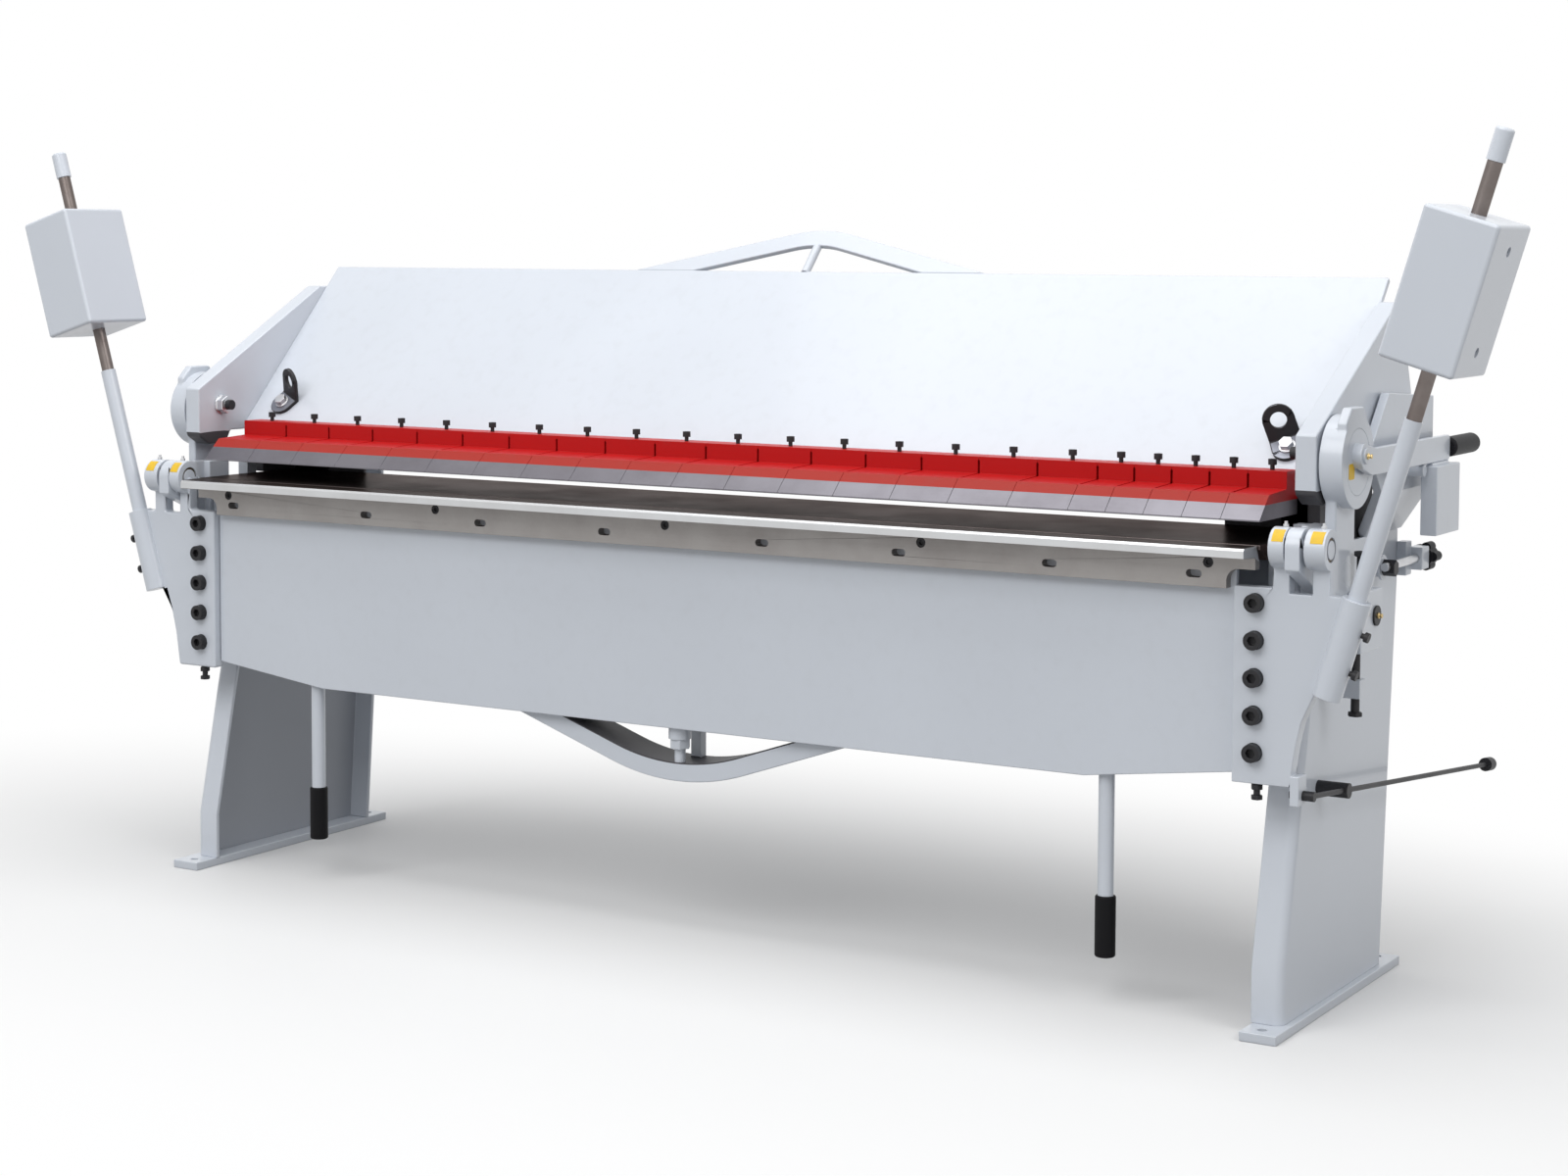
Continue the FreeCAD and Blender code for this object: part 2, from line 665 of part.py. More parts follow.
bed_bar_body = across("bed_bar", "-bed_bar_half", "bed_bar_half", [
    (bed_edge, "bed_top"),
    (f"{bed_edge} + bed_depth", "bed_top"),
    (f"{bed_edge} + bed_depth", bed_low),
    (f"{bed_edge} + bed_bevel", bed_low),
    (bed_edge, "bed_top - bed_nose"),
])
node(bed_bar_body)
bed_screws = [fuse(f"bed_screw_{i}", [
    bar(f"bed_screw_head_{i}", "z", f"{bed_low} - beam_wall - 1.5 * bed_screw_r", f"{bed_low} - beam_wall",
        (x, "(beam_front_y + beam_rear_y) / 2"), "1.5 * bed_screw_r"),
    bar(f"bed_screw_shank_{i}", "z", f"{bed_low} - beam_wall", bed_low,
        (x, "(beam_front_y + beam_rear_y) / 2"), "bed_screw_r")]) for i, x in enumerate(screw_places)]
node(group("bed_screws", bed_screws))
node(both("bed_end_blocks", block(
    "bed_end_block", ("bed_bar_half + seat_gap", "beam_front_y", f"{bed_low}"),
    ("bed_bar_half + stop_block_l", "beam_front_y + stop_block_w", "bed_top + stop_block_h"))))

# Hinge blocks: bolted to the outside of the webs, each between two barrels of the arm
block_end = "block_x + block_l"
knuckle = bar("block_knuckle", "x", "block_x", block_end, ("fold_y", "bed_top"), "knuckle_r")
block_body = across("block_arm", "block_x", block_end, [
    ("fold_y - knuckle_r", "bed_top - knuckle_r"),
    ("fold_y - knuckle_r", "bed_top"),
    ("fold_y", "block_top"),
    ("block_rear_y", "block_top"),
    ("block_rear_y", "frame_horn_z"),
    ("frame_horn_y", "frame_horn_z"),
])
block_foot = block("block_foot", ("web_x", "frame_horn_y", "frame_horn_z"),
                   (block_end, "block_rear_y", "block_top"))
block_bore = bar("block_bore", "x", "block_x - 1", f"{block_end} + 1", ("fold_y", "bed_top"),
                 "hinge_pin_r + running_gap / 3")
node(both("hinge_blocks", cut("hinge_block", fuse("block_solid", [knuckle, block_body, block_foot]),
                              [block_bore])))
outer_end = "outer_barrel_x + outer_barrel_l"
node(both("hinge_pins", bar("hinge_pin", "x", "inner_barrel_x", outer_end, ("fold_y", "bed_top"),
                            "hinge_pin_r")))

# Guide cheeks: cranked outwards above the web, they hold the beam's end plates upright
cheek_end = "cheek_x + cheek_t"
cheek_solid = facing("cheek_crank", "cheek_front_y", "cheek_rear_y", [
    ("web_x - web_t", "frame_top_z"),
    ("web_x + 2", "frame_top_z"),
    (cheek_end, "cheek_bend_z"),
    (cheek_end, "cheek_bend_z + 190"),
    ("cheek_x", "cheek_bend_z + 190"),
    ("cheek_x", "cheek_bend_z + 4"),
    ("web_x - web_t", "frame_top_z + 12"),
])
cheek_outline = across("cheek_outline", "web_x - 2 * web_t", f"{cheek_end} + 1", [
    ("cheek_front_y", "cheek_bend_z + 58"),
    ("cheek_front_y", "cheek_bend_z + 100"),
    ("cheek_front_y + 82", "cheek_bend_z + 186"),
    ("cheek_rear_y", "cheek_bend_z + 170"),
    ("cheek_rear_y", "frame_top_z"),
    ("cheek_front_y + 134", "frame_top_z"),
])
cheek = doc.addObject("Part::Common", "guide_cheek")
cheek.Base = cheek_solid
cheek.Tool = cheek_outline
node(both("guide_cheeks", cheek))
stop_pin_top = "bar_bottom_z - seat_gap"
node(both("lever_stop_pins", bar("lever_stop_pin", "x", cheek_end, "stop_pin_end_x",
                                 ("stop_pin_y", f"{stop_pin_top} - stop_pin_r"), "stop_pin_r")))

# Anchor forks: they hold the lower pins of the connecting rods
slot_side = "(neck_t / 2 + 3 * seat_gap)"
neck_mid = "disc_x + neck_t / 2"
fork_end = f"{neck_mid} + fork_half"
fork = block("fork_solid", ("web_x", "anchor_pin_y - 76", "anchor_pin_z - 62"),
             (fork_end, "anchor_pin_y + 34", "anchor_pin_z + 48"))
fork_slot = block("fork_slot", (f"{neck_mid} - {slot_side}", "anchor_pin_y - 77", "anchor_pin_z - 50"),
                  (f"{neck_mid} + {slot_side}", "anchor_pin_y + 35", "anchor_pin_z + 49"))
fork_bore = bar("fork_bore", "x", "web_x + 10", f"{fork_end} + 1", ("anchor_pin_y", "anchor_pin_z"),
                "anchor_pin_r + running_gap")
node(both("rod_anchors", cut("rod_anchor", fork, [fork_slot, fork_bore])))
anchor_pin = fuse("anchor_pin", [
    bar("anchor_pin_shank", "x", "web_x + 10", fork_end, ("anchor_pin_y", "anchor_pin_z"),
        "anchor_pin_r"),
    bar("anchor_pin_head", "x", fork_end, f"{fork_end} + 4", ("anchor_pin_y", "anchor_pin_z"),
        "1.55 * anchor_pin_r")])
node(both("anchor_pins", anchor_pin))

# Clamp adjusters: screws above and below the anchor, and the bracket of the lower one
screw_line = (f"{fork_end} - 10", "anchor_pin_y - 54")
upper_screw = fuse("upper_adjuster", [
    bar("upper_adjuster_shank", "z", "anchor_pin_z + 48", "anchor_pin_z + 112", screw_line, "8"),
    hexagon("upper_adjuster_head", "z", "anchor_pin_z + 112", "anchor_pin_z + 121", screw_line, "adjuster_af")])
lower_line = ("disc_x + neck_t", "anchor_pin_y - 24")
lower_screw = fuse("lower_adjuster", [
    bar("lower_adjuster_shank", "z", "anchor_pin_z - 175", "anchor_pin_z - 62", lower_line, "8"),
    hexagon("lower_adjuster_head", "z", "anchor_pin_z - 183", "anchor_pin_z - 175", lower_line, "adjuster_af"),
    block("adjuster_bracket", ("web_x", "anchor_pin_y - 40", "anchor_pin_z - 149"),
          (f"{lower_line[0]} + 14", "anchor_pin_y - 8", "anchor_pin_z - 115"))])
node(both("clamp_adjusters", group("clamp_adjuster", [upper_screw, lower_screw])))

# Setback: pivot pins in the slots of the webs, pushed to and fro by a screw with a knob
pivot_pin = fuse("pivot_pin", [
    bar("pivot_shank", "x", "leg_x - 4", "web_x + seat_gap", ("pivot_y", "pivot_z"), "pivot_r"),
    bar("pivot_collar", "x", "web_x + seat_gap", "web_x + 15", ("pivot_y", "pivot_z"), "0.75 * pivot_boss_r"),
    bar("pivot_washer", "x", "web_x + 15", "web_x + 20", ("pivot_y", "pivot_z"), "pivot_boss_r"),
    hexagon("pivot_hex", "x", "web_x + 20", "cheek_x", ("pivot_y", "pivot_z"), "pivot_hex_af")])
pivot_cross_hole = bar("pivot_cross_hole", "y", "pivot_y - 60", "pivot_y + 60", ("screw_x", "screw_z"),
                       "screw_r + seat_gap")
node(both("beam_pivots", cut("beam_pivot", pivot_pin, [pivot_cross_hole])))
half_block = "block_w / 2"
setback_block = fuse("setback_block_solid", [
    block("setback_nut", (f"screw_x - {half_block}", "block_y", f"screw_z - {half_block} - 8"),
          (f"screw_x + {half_block}", "block_y + setback_block_l", f"screw_z + {half_block} + 8")),
    block("setback_bracket", ("web_x", "frame_rear_top_y - 22", "screw_z - 32"),
          (f"screw_x - {half_block} + 4", "block_y + 8", "screw_z + 34"))])
setback_hole = bar("setback_hole", "y", "frame_rear_top_y - 30", "block_y + setback_block_l + 1", ("screw_x", "screw_z"),
                   "screw_r + seat_gap")
node(both("setback_brackets", cut("setback_bracket_right", setback_block, [setback_hole])))


def knob(label, axis_y, at, radius, length, lobe):
    # A lobed knob on a screw: a round core with round lobes about it.
    parts = [bar(label + "_core", "y", axis_y, f"{axis_y} + {length}", at, f"0.72 * {radius}")]
    for i in range(int(number("lobes"))):
        angle = f"({i} * 360 deg / lobes)"
        place = (f"{at[0]} + 0.66 * {radius} * cos{angle}", f"{at[1]} + 0.66 * {radius} * sin{angle}")
        parts.append(bar(f"{label}_lobe_{i}", "y", f"{axis_y} + {lobe}", f"{axis_y} + {length} - {lobe}",
                         place, f"0.34 * {radius}"))
    return parts


knob_y = "block_y + setback_block_l + seat_gap"
setback_parts = [bar("setback_screw", "y", "screw_front_y", knob_y, ("screw_x", "screw_z"), "screw_r")]
setback_parts += knob("setback_handle", knob_y, ("screw_x", "screw_z"), "setback_knob_r",
                      "setback_knob_l", "3")
setback_knob = node(fuse("setback_knob_right", setback_parts))
node(mirror("setback_knob_left", setback_knob))

stud = node(bar("stop_stud", "x", "web_x", "rod_x - 7", ("stud_y", "stud_z"), "stud_r"))

# Apron: the swinging front, a plate on a welded box with a stiffening rail
apron_rear = "apron_front_y + apron_t"
node(facing("apron_plate", "apron_front_y", apron_rear, [
    ("-apron_corner_x", "apron_low_z"),
    ("apron_corner_x", "apron_low_z"),
    ("apron_half", "apron_end_z"),
    ("apron_half", "apron_top_z"),
    ("-apron_half", "apron_top_z"),
    ("-apron_half", "apron_end_z"),
]))
end_rise = "(apron_end_z - apron_low_z) / (apron_half - apron_corner_x)"


def apron_box(label, front, rear, half, wall):
    # The box behind the plate, outside or inside: its bottom rises towards the ends with the plate's.
    low = f"apron_low_z + {wall}"
    end_low = f"{low} + ({half} - apron_corner_x) * {end_rise}"
    high = f"box_top_z - {wall}"
    return facing(label, front, rear, [
        ("-apron_corner_x", low),
        ("apron_corner_x", low),
        (half, end_low),
        (half, high),
        (f"-({half})", high),
        (f"-({half})", end_low),
    ])


box_outside = apron_box("apron_box_outside", apron_rear, "box_rear_y", "box_half", "0")
box_inside = apron_box("apron_box_inside", f"{apron_rear} + box_wall", "box_rear_y - box_wall", "box_half + 1",
                       "box_wall")
rail = block("apron_rail", ("-rail_half", apron_rear, "box_top_z"),
             ("rail_half", f"{apron_rear} + rail_t", "rail_top_z"))
pad_right = block("apron_pad", ("box_half", apron_rear, "pad_low_z"),
                  ("rail_half", f"{apron_rear} + rail_t", "box_top_z"))
arm_screw_heights = [f"arm_screw_top_z - {i} * arm_screw_pitch" for i in range(int(number("arm_screw_n")))]
thread_holes = [bar(f"apron_thread_{side}_{i}", "y", f"{apron_rear} - 1", f"{apron_rear} + rail_t + 1",
                    (f"{sign}arm_screw_x", z), "0.6 * arm_screw_head_r")
                for i, z in enumerate(arm_screw_heights) for side, sign in (("right", ""), ("left", "-"))]
apron_welded = fuse("apron_welded", [cut("apron_box", box_outside, [box_inside]), rail, pad_right,
                                     mirror("apron_pad_left", pad_right)])
node(cut("apron_frame", apron_welded, thread_holes))

# Folding bar: the edge that bends the sheet, screwed to the top of the apron
lip_y = "fold_y - lip_depth"
bar_profile = across("folding_bar_profile", "-fold_bar_half", "fold_bar_half", [
    ("fold_y - 1", "fold_bar_top"),
    (f"{lip_y} + lip_bevel", "fold_bar_top"),
    (lip_y, "fold_bar_top - lip_bevel"),
    (lip_y, "fold_bar_top - lip_bevel - lip_h"),
    ("bar_web_front_y", "bar_web_top_z"),
    ("bar_web_front_y", "bar_low_z"),
    ("apron_front_y", "bar_low_z"),
    ("apron_front_y", "bar_back_top_z"),
    ("fold_y - 1", "fold_bar_top - 5"),
])
bar_cutaway = rounded("folding_bar_cutaway", block(
    "folding_bar_end_space", ("bar_end_x", "bar_web_front_y - 60", "bar_low_z - 50"),
    ("fold_bar_half + 60", "apron_front_y + 10", "bar_end_z")), "bar_end_r",
    lambda edge: along(edge, "y") and edge.BoundBox.XMin < number("bar_end_x") + 1
    and edge.BoundBox.ZMin > number("bar_end_z") - 1)
bar_tools = [bar_cutaway, mirror("folding_bar_cutaway_left", bar_cutaway)]
slot_shares = [-0.917, -0.615, -0.370, -0.118, 0.182, 0.426, 0.679, 0.907]
for i, share in enumerate(slot_shares):
    place = f"{share} * fold_bar_half"
    for end, sign in (("a", "-"), ("b", "+")):
        bar_tools.append(bar(f"bar_slot_{i}{end}", "y", "bar_web_front_y - 1", "apron_front_y + 1",
                             (f"{place} {sign} slot_l / 2", "slot_z"), "slot_r"))
    bar_tools.append(block(f"bar_slot_{i}", (f"{place} - slot_l / 2", "bar_web_front_y - 1", "slot_z - slot_r"),
                           (f"{place} + slot_l / 2", "apron_front_y + 1", "slot_z + slot_r")))
bar_screw_places = [f"{i} * (fold_bar_half - bar_screw_end) / 2" for i in (-2, -1, 0, 1, 2)]
seat = "apron_front_y - 12"
for i, x in enumerate(bar_screw_places):
    bar_tools.append(bar(f"bar_sink_{i}", "y", lip_y, seat, (x, "bar_screw_z"), "bar_screw_r + seat_gap"))
    bar_tools.append(bar(f"bar_hole_{i}", "y", lip_y, "apron_front_y + 1", (x, "bar_screw_z"),
                         "0.5 * bar_screw_r"))
node(cut("folding_bar", bar_profile, bar_tools))


def socket_screw(label, face, end, at, head_r, head_l, shank_r):
    # A cap screw along Y: its head in front of the face, a hexagon socket in the head.
    head = bar(label + "_head", "y", f"{face} - ({head_l})", face, at, head_r)
    shank = bar(label + "_shank", "y", face, end, at, shank_r)
    key = hexagon(label + "_key", "y", f"{face} - ({head_l}) - 1", f"{face} - 0.45 * ({head_l})", at,
                  f"0.95 * {head_r}")
    return cut(label, fuse(label + "_body", [head, shank]), [key])


node(group("folding_bar_screws", [
    socket_screw(f"bar_screw_{i}", seat, "apron_front_y", (x, "bar_screw_z"), "bar_screw_r", "bar_screw_head",
                 "0.5 * bar_screw_r") for i, x in enumerate(bar_screw_places)]))

# Arms: castings at both ends of the apron, with hinge barrels above and a lever socket outside
lean_tan = "tan(lean * 1 deg)"
arm_plate = facing("arm_plate", "arm_front_y", apron_rear, [
    ("arm_inner_x", "arm_low_z"),
    ("arm_foot_x", "arm_low_z"),
    ("(arm_foot_x + arm_waist_x) / 2", "arm_waist_z - 44"),
    ("arm_waist_x", "arm_waist_z"),
    ("lever_foot_x - socket_r", "lever_foot_z - socket_below + 4"),
    ("lever_foot_x + 8", "lever_foot_z - socket_below + 4"),
    (f"lever_foot_x + 156 * {lean_tan}", "window_low_z"),
    ("inner_barrel_x + inner_barrel_l", "window_low_z"),
    ("inner_barrel_x + inner_barrel_l", "arm_top_z"),
    ("arm_inner_x", "arm_top_z"),
])
inner_end = "inner_barrel_x + inner_barrel_l"
arm_pieces = [
    arm_plate,
    block("inner_lug", ("lug_in_x", "arm_front_y", "arm_top_z - 5"), (inner_end, apron_rear, "bed_top")),
    block("outer_lug", ("outer_barrel_x + 6", "arm_front_y", "window_low_z - 5"),
          (outer_end, apron_rear, "bed_top")),
    bar("inner_barrel", "x", "inner_barrel_x", inner_end, ("fold_y", "bed_top"), "knuckle_r"),
    bar("outer_barrel", "x", "outer_barrel_x", outer_end, ("fold_y", "bed_top"), "knuckle_r"),
    lever_bar("lever_socket", "-socket_below", "socket_l - socket_below", "socket_r"),
]
bush_r = "hinge_pin_r + running_gap + bush_wall"
head_face = "arm_front_y + arm_screw_sink"
arm_tools = [
    bar("arm_bore", "x", "inner_barrel_x - 1", f"{outer_end} + 1", ("fold_y", "bed_top"), bush_r),
    lever_bar("socket_bore", "0", "socket_l", "tube_r"),
]
for i, z in enumerate(arm_screw_heights):
    arm_tools.append(bar(f"arm_sink_{i}", "y", "arm_front_y - 1", head_face, ("arm_screw_x", z),
                         "arm_screw_head_r + 2 * seat_gap"))
    arm_tools.append(bar(f"arm_hole_{i}", "y", "arm_front_y", f"{apron_rear} + 1", ("arm_screw_x", z),
                         "0.6 * arm_screw_head_r"))
plain_arm = cut("plain_arm", fuse("arm_solid", arm_pieces), arm_tools)
tab = block("rod_tab", ("tab_x", "arm_front_y", "tab_low_z"), ("tab_x + tab_w", "rod_pivot_y + 17", "arm_low_z + 20"))
tab_bore = bar("tab_bore", "x", "tab_x - 1", "tab_x + tab_w + 1", ("rod_pivot_y", "rod_pivot_z"),
               "stop_rod_r + running_gap")
node(cut("arm_right", fuse("arm_with_tab", [plain_arm, tab]), [tab_bore]))
node(mirror("arm_left", plain_arm))
arm_screws = [socket_screw(f"arm_screw_{i}", head_face, f"{apron_rear} + rail_t", ("arm_screw_x", z),
                           "arm_screw_head_r", "1.2 * arm_screw_head_r", "0.6 * arm_screw_head_r")
              for i, z in enumerate(arm_screw_heights)]
node(both("arm_screws", group("arm_screw_row", arm_screws)))
bushes = []
for which, start, end in (("inner", "inner_barrel_x + bush_back", f"{inner_end} - bush_back"),
                          ("outer", "outer_barrel_x + bush_back", f"{outer_end} - bush_back")):
    bushes.append(cut(f"bush_{which}", bar(f"bush_{which}_outside", "x", start, end, ("fold_y", "bed_top"), bush_r),
                      [bar(f"bush_{which}_bore", "x", f"{start} - 1", f"{end} + 1", ("fold_y", "bed_top"),
                           "hinge_pin_r + running_gap")]))
node(both("hinge_bushes", group("hinge_bush_pair", bushes)))
nipples = []
for which, x in (("inner", "inner_barrel_x + 20"), ("outer", "outer_barrel_x + 24")):
    foot_z = "bed_top + knuckle_r"
    nipples.append(fuse(f"nipple_{which}", [
        bar(f"nipple_{which}_hex", "z", foot_z, f"{foot_z} + 5", (x, "fold_y"), "5"),
        bar(f"nipple_{which}_tip", "z", f"{foot_z} + 5", f"{foot_z} + 10", (x, "fold_y"), "3")]))
node(both("grease_nipples", group("grease_nipple_pair", nipples)))
middle_y = f"(arm_front_y + {apron_rear}) / 2"
levelling = fuse("levelling_screw", [
    bar("levelling_shank", "z", "arm_low_z - adjuster_l", "arm_low_z", ("adjuster_x", middle_y), "6"),
    hexagon("levelling_nut", "z", "arm_low_z - 12", "arm_low_z - 2", ("adjuster_x", middle_y), "19"),
    hexagon("levelling_head", "z", "arm_low_z - adjuster_l", "arm_low_z - adjuster_l + 8",
            ("adjuster_x", middle_y), "19")])
node(both("levelling_screws", levelling))

# Levers: a tube in each socket, a bare rod in the tube, a cap on top
node(both("lever_tubes", cut("lever_tube", lever_bar("lever_tube_outside", "0", "tube_l", "tube_r"),
                             [lever_bar("lever_tube_bore", "tube_l - rod_in", "tube_l + 1", "rod_r")])))
node(both("lever_rods", lever_bar("lever_rod", "tube_l - rod_in", "tube_l + rod_out", "rod_r")))
cap_start = "tube_l + rod_out"
cap = lever_bar("lever_cap_solid", cap_start, f"{cap_start} + cap_l", "cap_r")
node(both("lever_caps", rounded("lever_cap", cap, "cap_r / 3", lambda edge: edge.Curve.TypeId == "Part::GeomCircle"
                                and edge.BoundBox.ZMax > number(f"lever_foot_z + ({cap_start} + cap_l / 2) * cos(lean * 1 deg)"))))


def lever_side_bar(label, up, start, end, radius):
    # A round bar that points outwards from the leaning axis, at a height along it.
    rod = doc.addObject("Part::Cylinder", label)
    turned = FreeCAD.Rotation(FreeCAD.Vector(0, 1, 0), 90 + number("lean"))
    rod.Placement = FreeCAD.Placement(FreeCAD.Vector(), turned)
    bind(rod, "Placement.Rotation.Angle", "(90 + lean) * 1 deg")
    side = "cos(lean * 1 deg)"
    rise = "sin(lean * 1 deg)"
    bind(rod, "Placement.Base.x", f"lever_foot_x + ({up}) * {rise} + ({start}) * {side}")
    bind(rod, "Placement.Base.y", "fold_y")
    bind(rod, "Placement.Base.z", f"lever_foot_z + ({up}) * {side} - ({start}) * {rise}")
    bind(rod, "Height", f"{end} - ({start})")
    bind(rod, "Radius", radius)
    return rod


socket_screws = [fuse(f"socket_screw_{i}", [
    lever_side_bar(f"socket_screw_shank_{i}", up, "socket_r", "socket_r + 6", "5"),
    lever_side_bar(f"socket_screw_head_{i}", up, "socket_r + 6", "socket_r + 14", "9")])
    for i, up in enumerate(("socket_l - 74", "socket_l - 145"))]
node(both("socket_screws", group("socket_screw_pair", socket_screws)))

# Counterweights: blocks that slide on the lever rods
weight_start = "tube_l + weight_gap"
weight_box = doc.addObject("Part::Box", "weight_box")
weight_box.Placement = FreeCAD.Placement(FreeCAD.Vector(), FreeCAD.Rotation(FreeCAD.Vector(0, 1, 0), number("lean")))
bind(weight_box, "Placement.Rotation.Angle", "lean * 1 deg")
bind(weight_box, "Placement.Base.x",
     f"lever_foot_x + ({weight_start}) * sin(lean * 1 deg) - weight_w / 2 * cos(lean * 1 deg)")
bind(weight_box, "Placement.Base.y", "fold_y - weight_d / 2")
bind(weight_box, "Placement.Base.z",
     f"lever_foot_z + ({weight_start}) * cos(lean * 1 deg) + weight_w / 2 * sin(lean * 1 deg)")
bind(weight_box, "Length", "weight_w")
bind(weight_box, "Width", "weight_d")
bind(weight_box, "Height", "weight_l")
weight_tools = [lever_bar("weight_bore", f"{weight_start} - 1", f"{weight_start} + weight_l + 1",
                          "rod_r + seat_gap")]
for i, share in enumerate((0.17, 0.83)):
    weight_tools.append(lever_side_bar(f"weight_screw_hole_{i}", f"{weight_start} + {share} * weight_l",
                                       "weight_w / 2 - 22", "weight_w / 2 + 1", "weight_screw_r"))
counterweight = node(cut("counterweight_right", rounded("weight_block", weight_box, "weight_r",
                                                        lambda edge: True), weight_tools))
node(mirror("counterweight_left", counterweight))

# Pull handles below the apron
node(both("pull_handles", cut("pull_handle_right", bar("pull_handle", "z", "grip_low_z + 10", "apron_low_z + 10",
                                                       ("handle_x", "handle_y"), "handle_r"), [box_outside])))
grip = cut("pull_grip", rounded("pull_grip_solid", bar(
    "pull_grip_outside", "z", "grip_low_z", "grip_top_z", ("handle_x", "handle_y"), "handle_r + grip_wall"),
    "4", lambda edge: edge.Curve.TypeId == "Part::GeomCircle"),
    [bar("pull_grip_bore", "z", "grip_low_z + 10", "grip_top_z + 1", ("handle_x", "handle_y"), "handle_r")])
node(both("pull_grips", grip))

# Lower truss: a bow under the apron that is pushed down by a screw to take out its sag
slope_tan = "tan(bow_slope * 1 deg)"
bow_low = f"apron_low_z - bow_half * {slope_tan}"
bow_high = f"{bow_low} + bow_t / cos(bow_slope * 1 deg)"
bow_inner_half = "bow_half - bow_t / sin(bow_slope * 1 deg)"
bow = facing("truss_bow", "bow_front_y", "bow_front_y + bow_depth", [
    ("-bow_half", "apron_low_z"),
    ("0", bow_low),
    ("bow_half", "apron_low_z"),
    (bow_inner_half, "apron_low_z"),
    ("0", bow_high),
    (f"-({bow_inner_half})", "apron_low_z"),
])


def middle_edge(height):
    # Picks the edge that runs along Y at the middle of a bow, at a height.
    return lambda edge: (along(edge, "y") and abs(edge.BoundBox.XMax) < 0.01
                         and abs(edge.BoundBox.ZMax - height) < 0.01)


round_edges(bow, "bow_r", middle_edge(number(bow_low)))
round_edges(bow, "bow_r - bow_t", middle_edge(number(bow_high)))
bow_top = f"({bow_high} + (bow_r - bow_t) * (1 / cos(bow_slope * 1 deg) - 1))"
post = block("truss_post", ("-12", "bow_front_y + bow_depth - 26", f"{bow_top} - 4"),
             ("12", "bow_front_y + bow_depth - 4", "apron_low_z"))
truss_hole = bar("truss_hole", "z", f"{bow_top} - 8", f"{bow_top} + 20", ("0", "truss_y"), "truss_r")
node(cut("lower_truss", fuse("truss_solid", [bow, post]), [truss_hole]))
washer_low = "apron_low_z - truss_washer_t"
node(fuse("truss_screw", [
    bar("truss_shank", "z", f"{bow_top} - 8", f"{washer_low}", ("0", "truss_y"), "truss_r"),
    hexagon("truss_nut", "z", f"{washer_low} - truss_nut_t", washer_low, ("0", "truss_y"), "truss_nut_af"),
    bar("truss_spacer", "z", washer_low, "apron_low_z", ("0", "truss_y"), "truss_washer_r")]))

# Stop rod: hinged on the lug of the right arm, it slides through a collar on the stud
rod_fall = "atan((rod_pivot_z - stud_z) / (stud_y - rod_pivot_y))"


def stop_bar(label, start, end, radius):
    # A round bar on the line from the stop rod's pivot past its stud.
    rod = doc.addObject("Part::Cylinder", label)
    turned = FreeCAD.Rotation(FreeCAD.Vector(-1, 0, 0), 90 + number(rod_fall))
    rod.Placement = FreeCAD.Placement(FreeCAD.Vector(), turned)
    bind(rod, "Placement.Rotation.Angle", f"90 deg + {rod_fall}")
    bind(rod, "Placement.Base.x", "rod_x")
    bind(rod, "Placement.Base.y", f"rod_pivot_y + ({start}) * cos({rod_fall})")
    bind(rod, "Placement.Base.z", f"rod_pivot_z - ({start}) * sin({rod_fall})")
    bind(rod, "Height", f"{end} - ({start})")
    bind(rod, "Radius", radius)
    return rod


tab_end = "tab_x + tab_w"
eye_at = ("rod_pivot_y", "rod_pivot_z")
rod_pieces = [
    stop_bar("stop_rod_length", "0", "stop_rod_l", "stop_rod_r"),
    bar("stop_rod_eye", "x", f"{tab_end} + seat_gap", "rod_x + 7", eye_at, "9"),
    bar("stop_rod_stem", "x", "tab_x - seat_gap", f"{tab_end} + seat_gap", eye_at, "stop_rod_r"),
    hexagon("stop_rod_bolt", "x", "tab_x - 7", "tab_x - seat_gap", eye_at, "17"),
    stop_bar("stop_rod_handle", "stop_rod_l", "stop_rod_l + 34", "rod_knob_r"),
]
node(fuse("stop_rod", rod_pieces))
stud_reach = f"(stud_y - rod_pivot_y) / cos({rod_fall})"
collar = bar("stop_collar_solid", "x", "rod_x - 7 + seat_gap", "rod_x + 9", ("stud_y", "stud_z"), "stud_r")
collar_bore = stop_bar("stop_collar_bore", f"{stud_reach} - 30", f"{stud_reach} + 30", "stop_rod_r + seat_gap")
node(cut("stop_collar", collar, [collar_bore]))

# Clamping beam: a leaning front panel, a finger rail, a rear plate and two thick end plates
LEAN = "(panel_lean * 1 deg)"


def on_panel(up, back):
    # A point of the (Y, Z) plane: up the panel's slope and back from its front face.
    return (f"panel_low_y + ({up}) * sin{LEAN} + ({back}) * cos{LEAN}",
            f"panel_low_z + ({up}) * cos{LEAN} - ({back}) * sin{LEAN}")


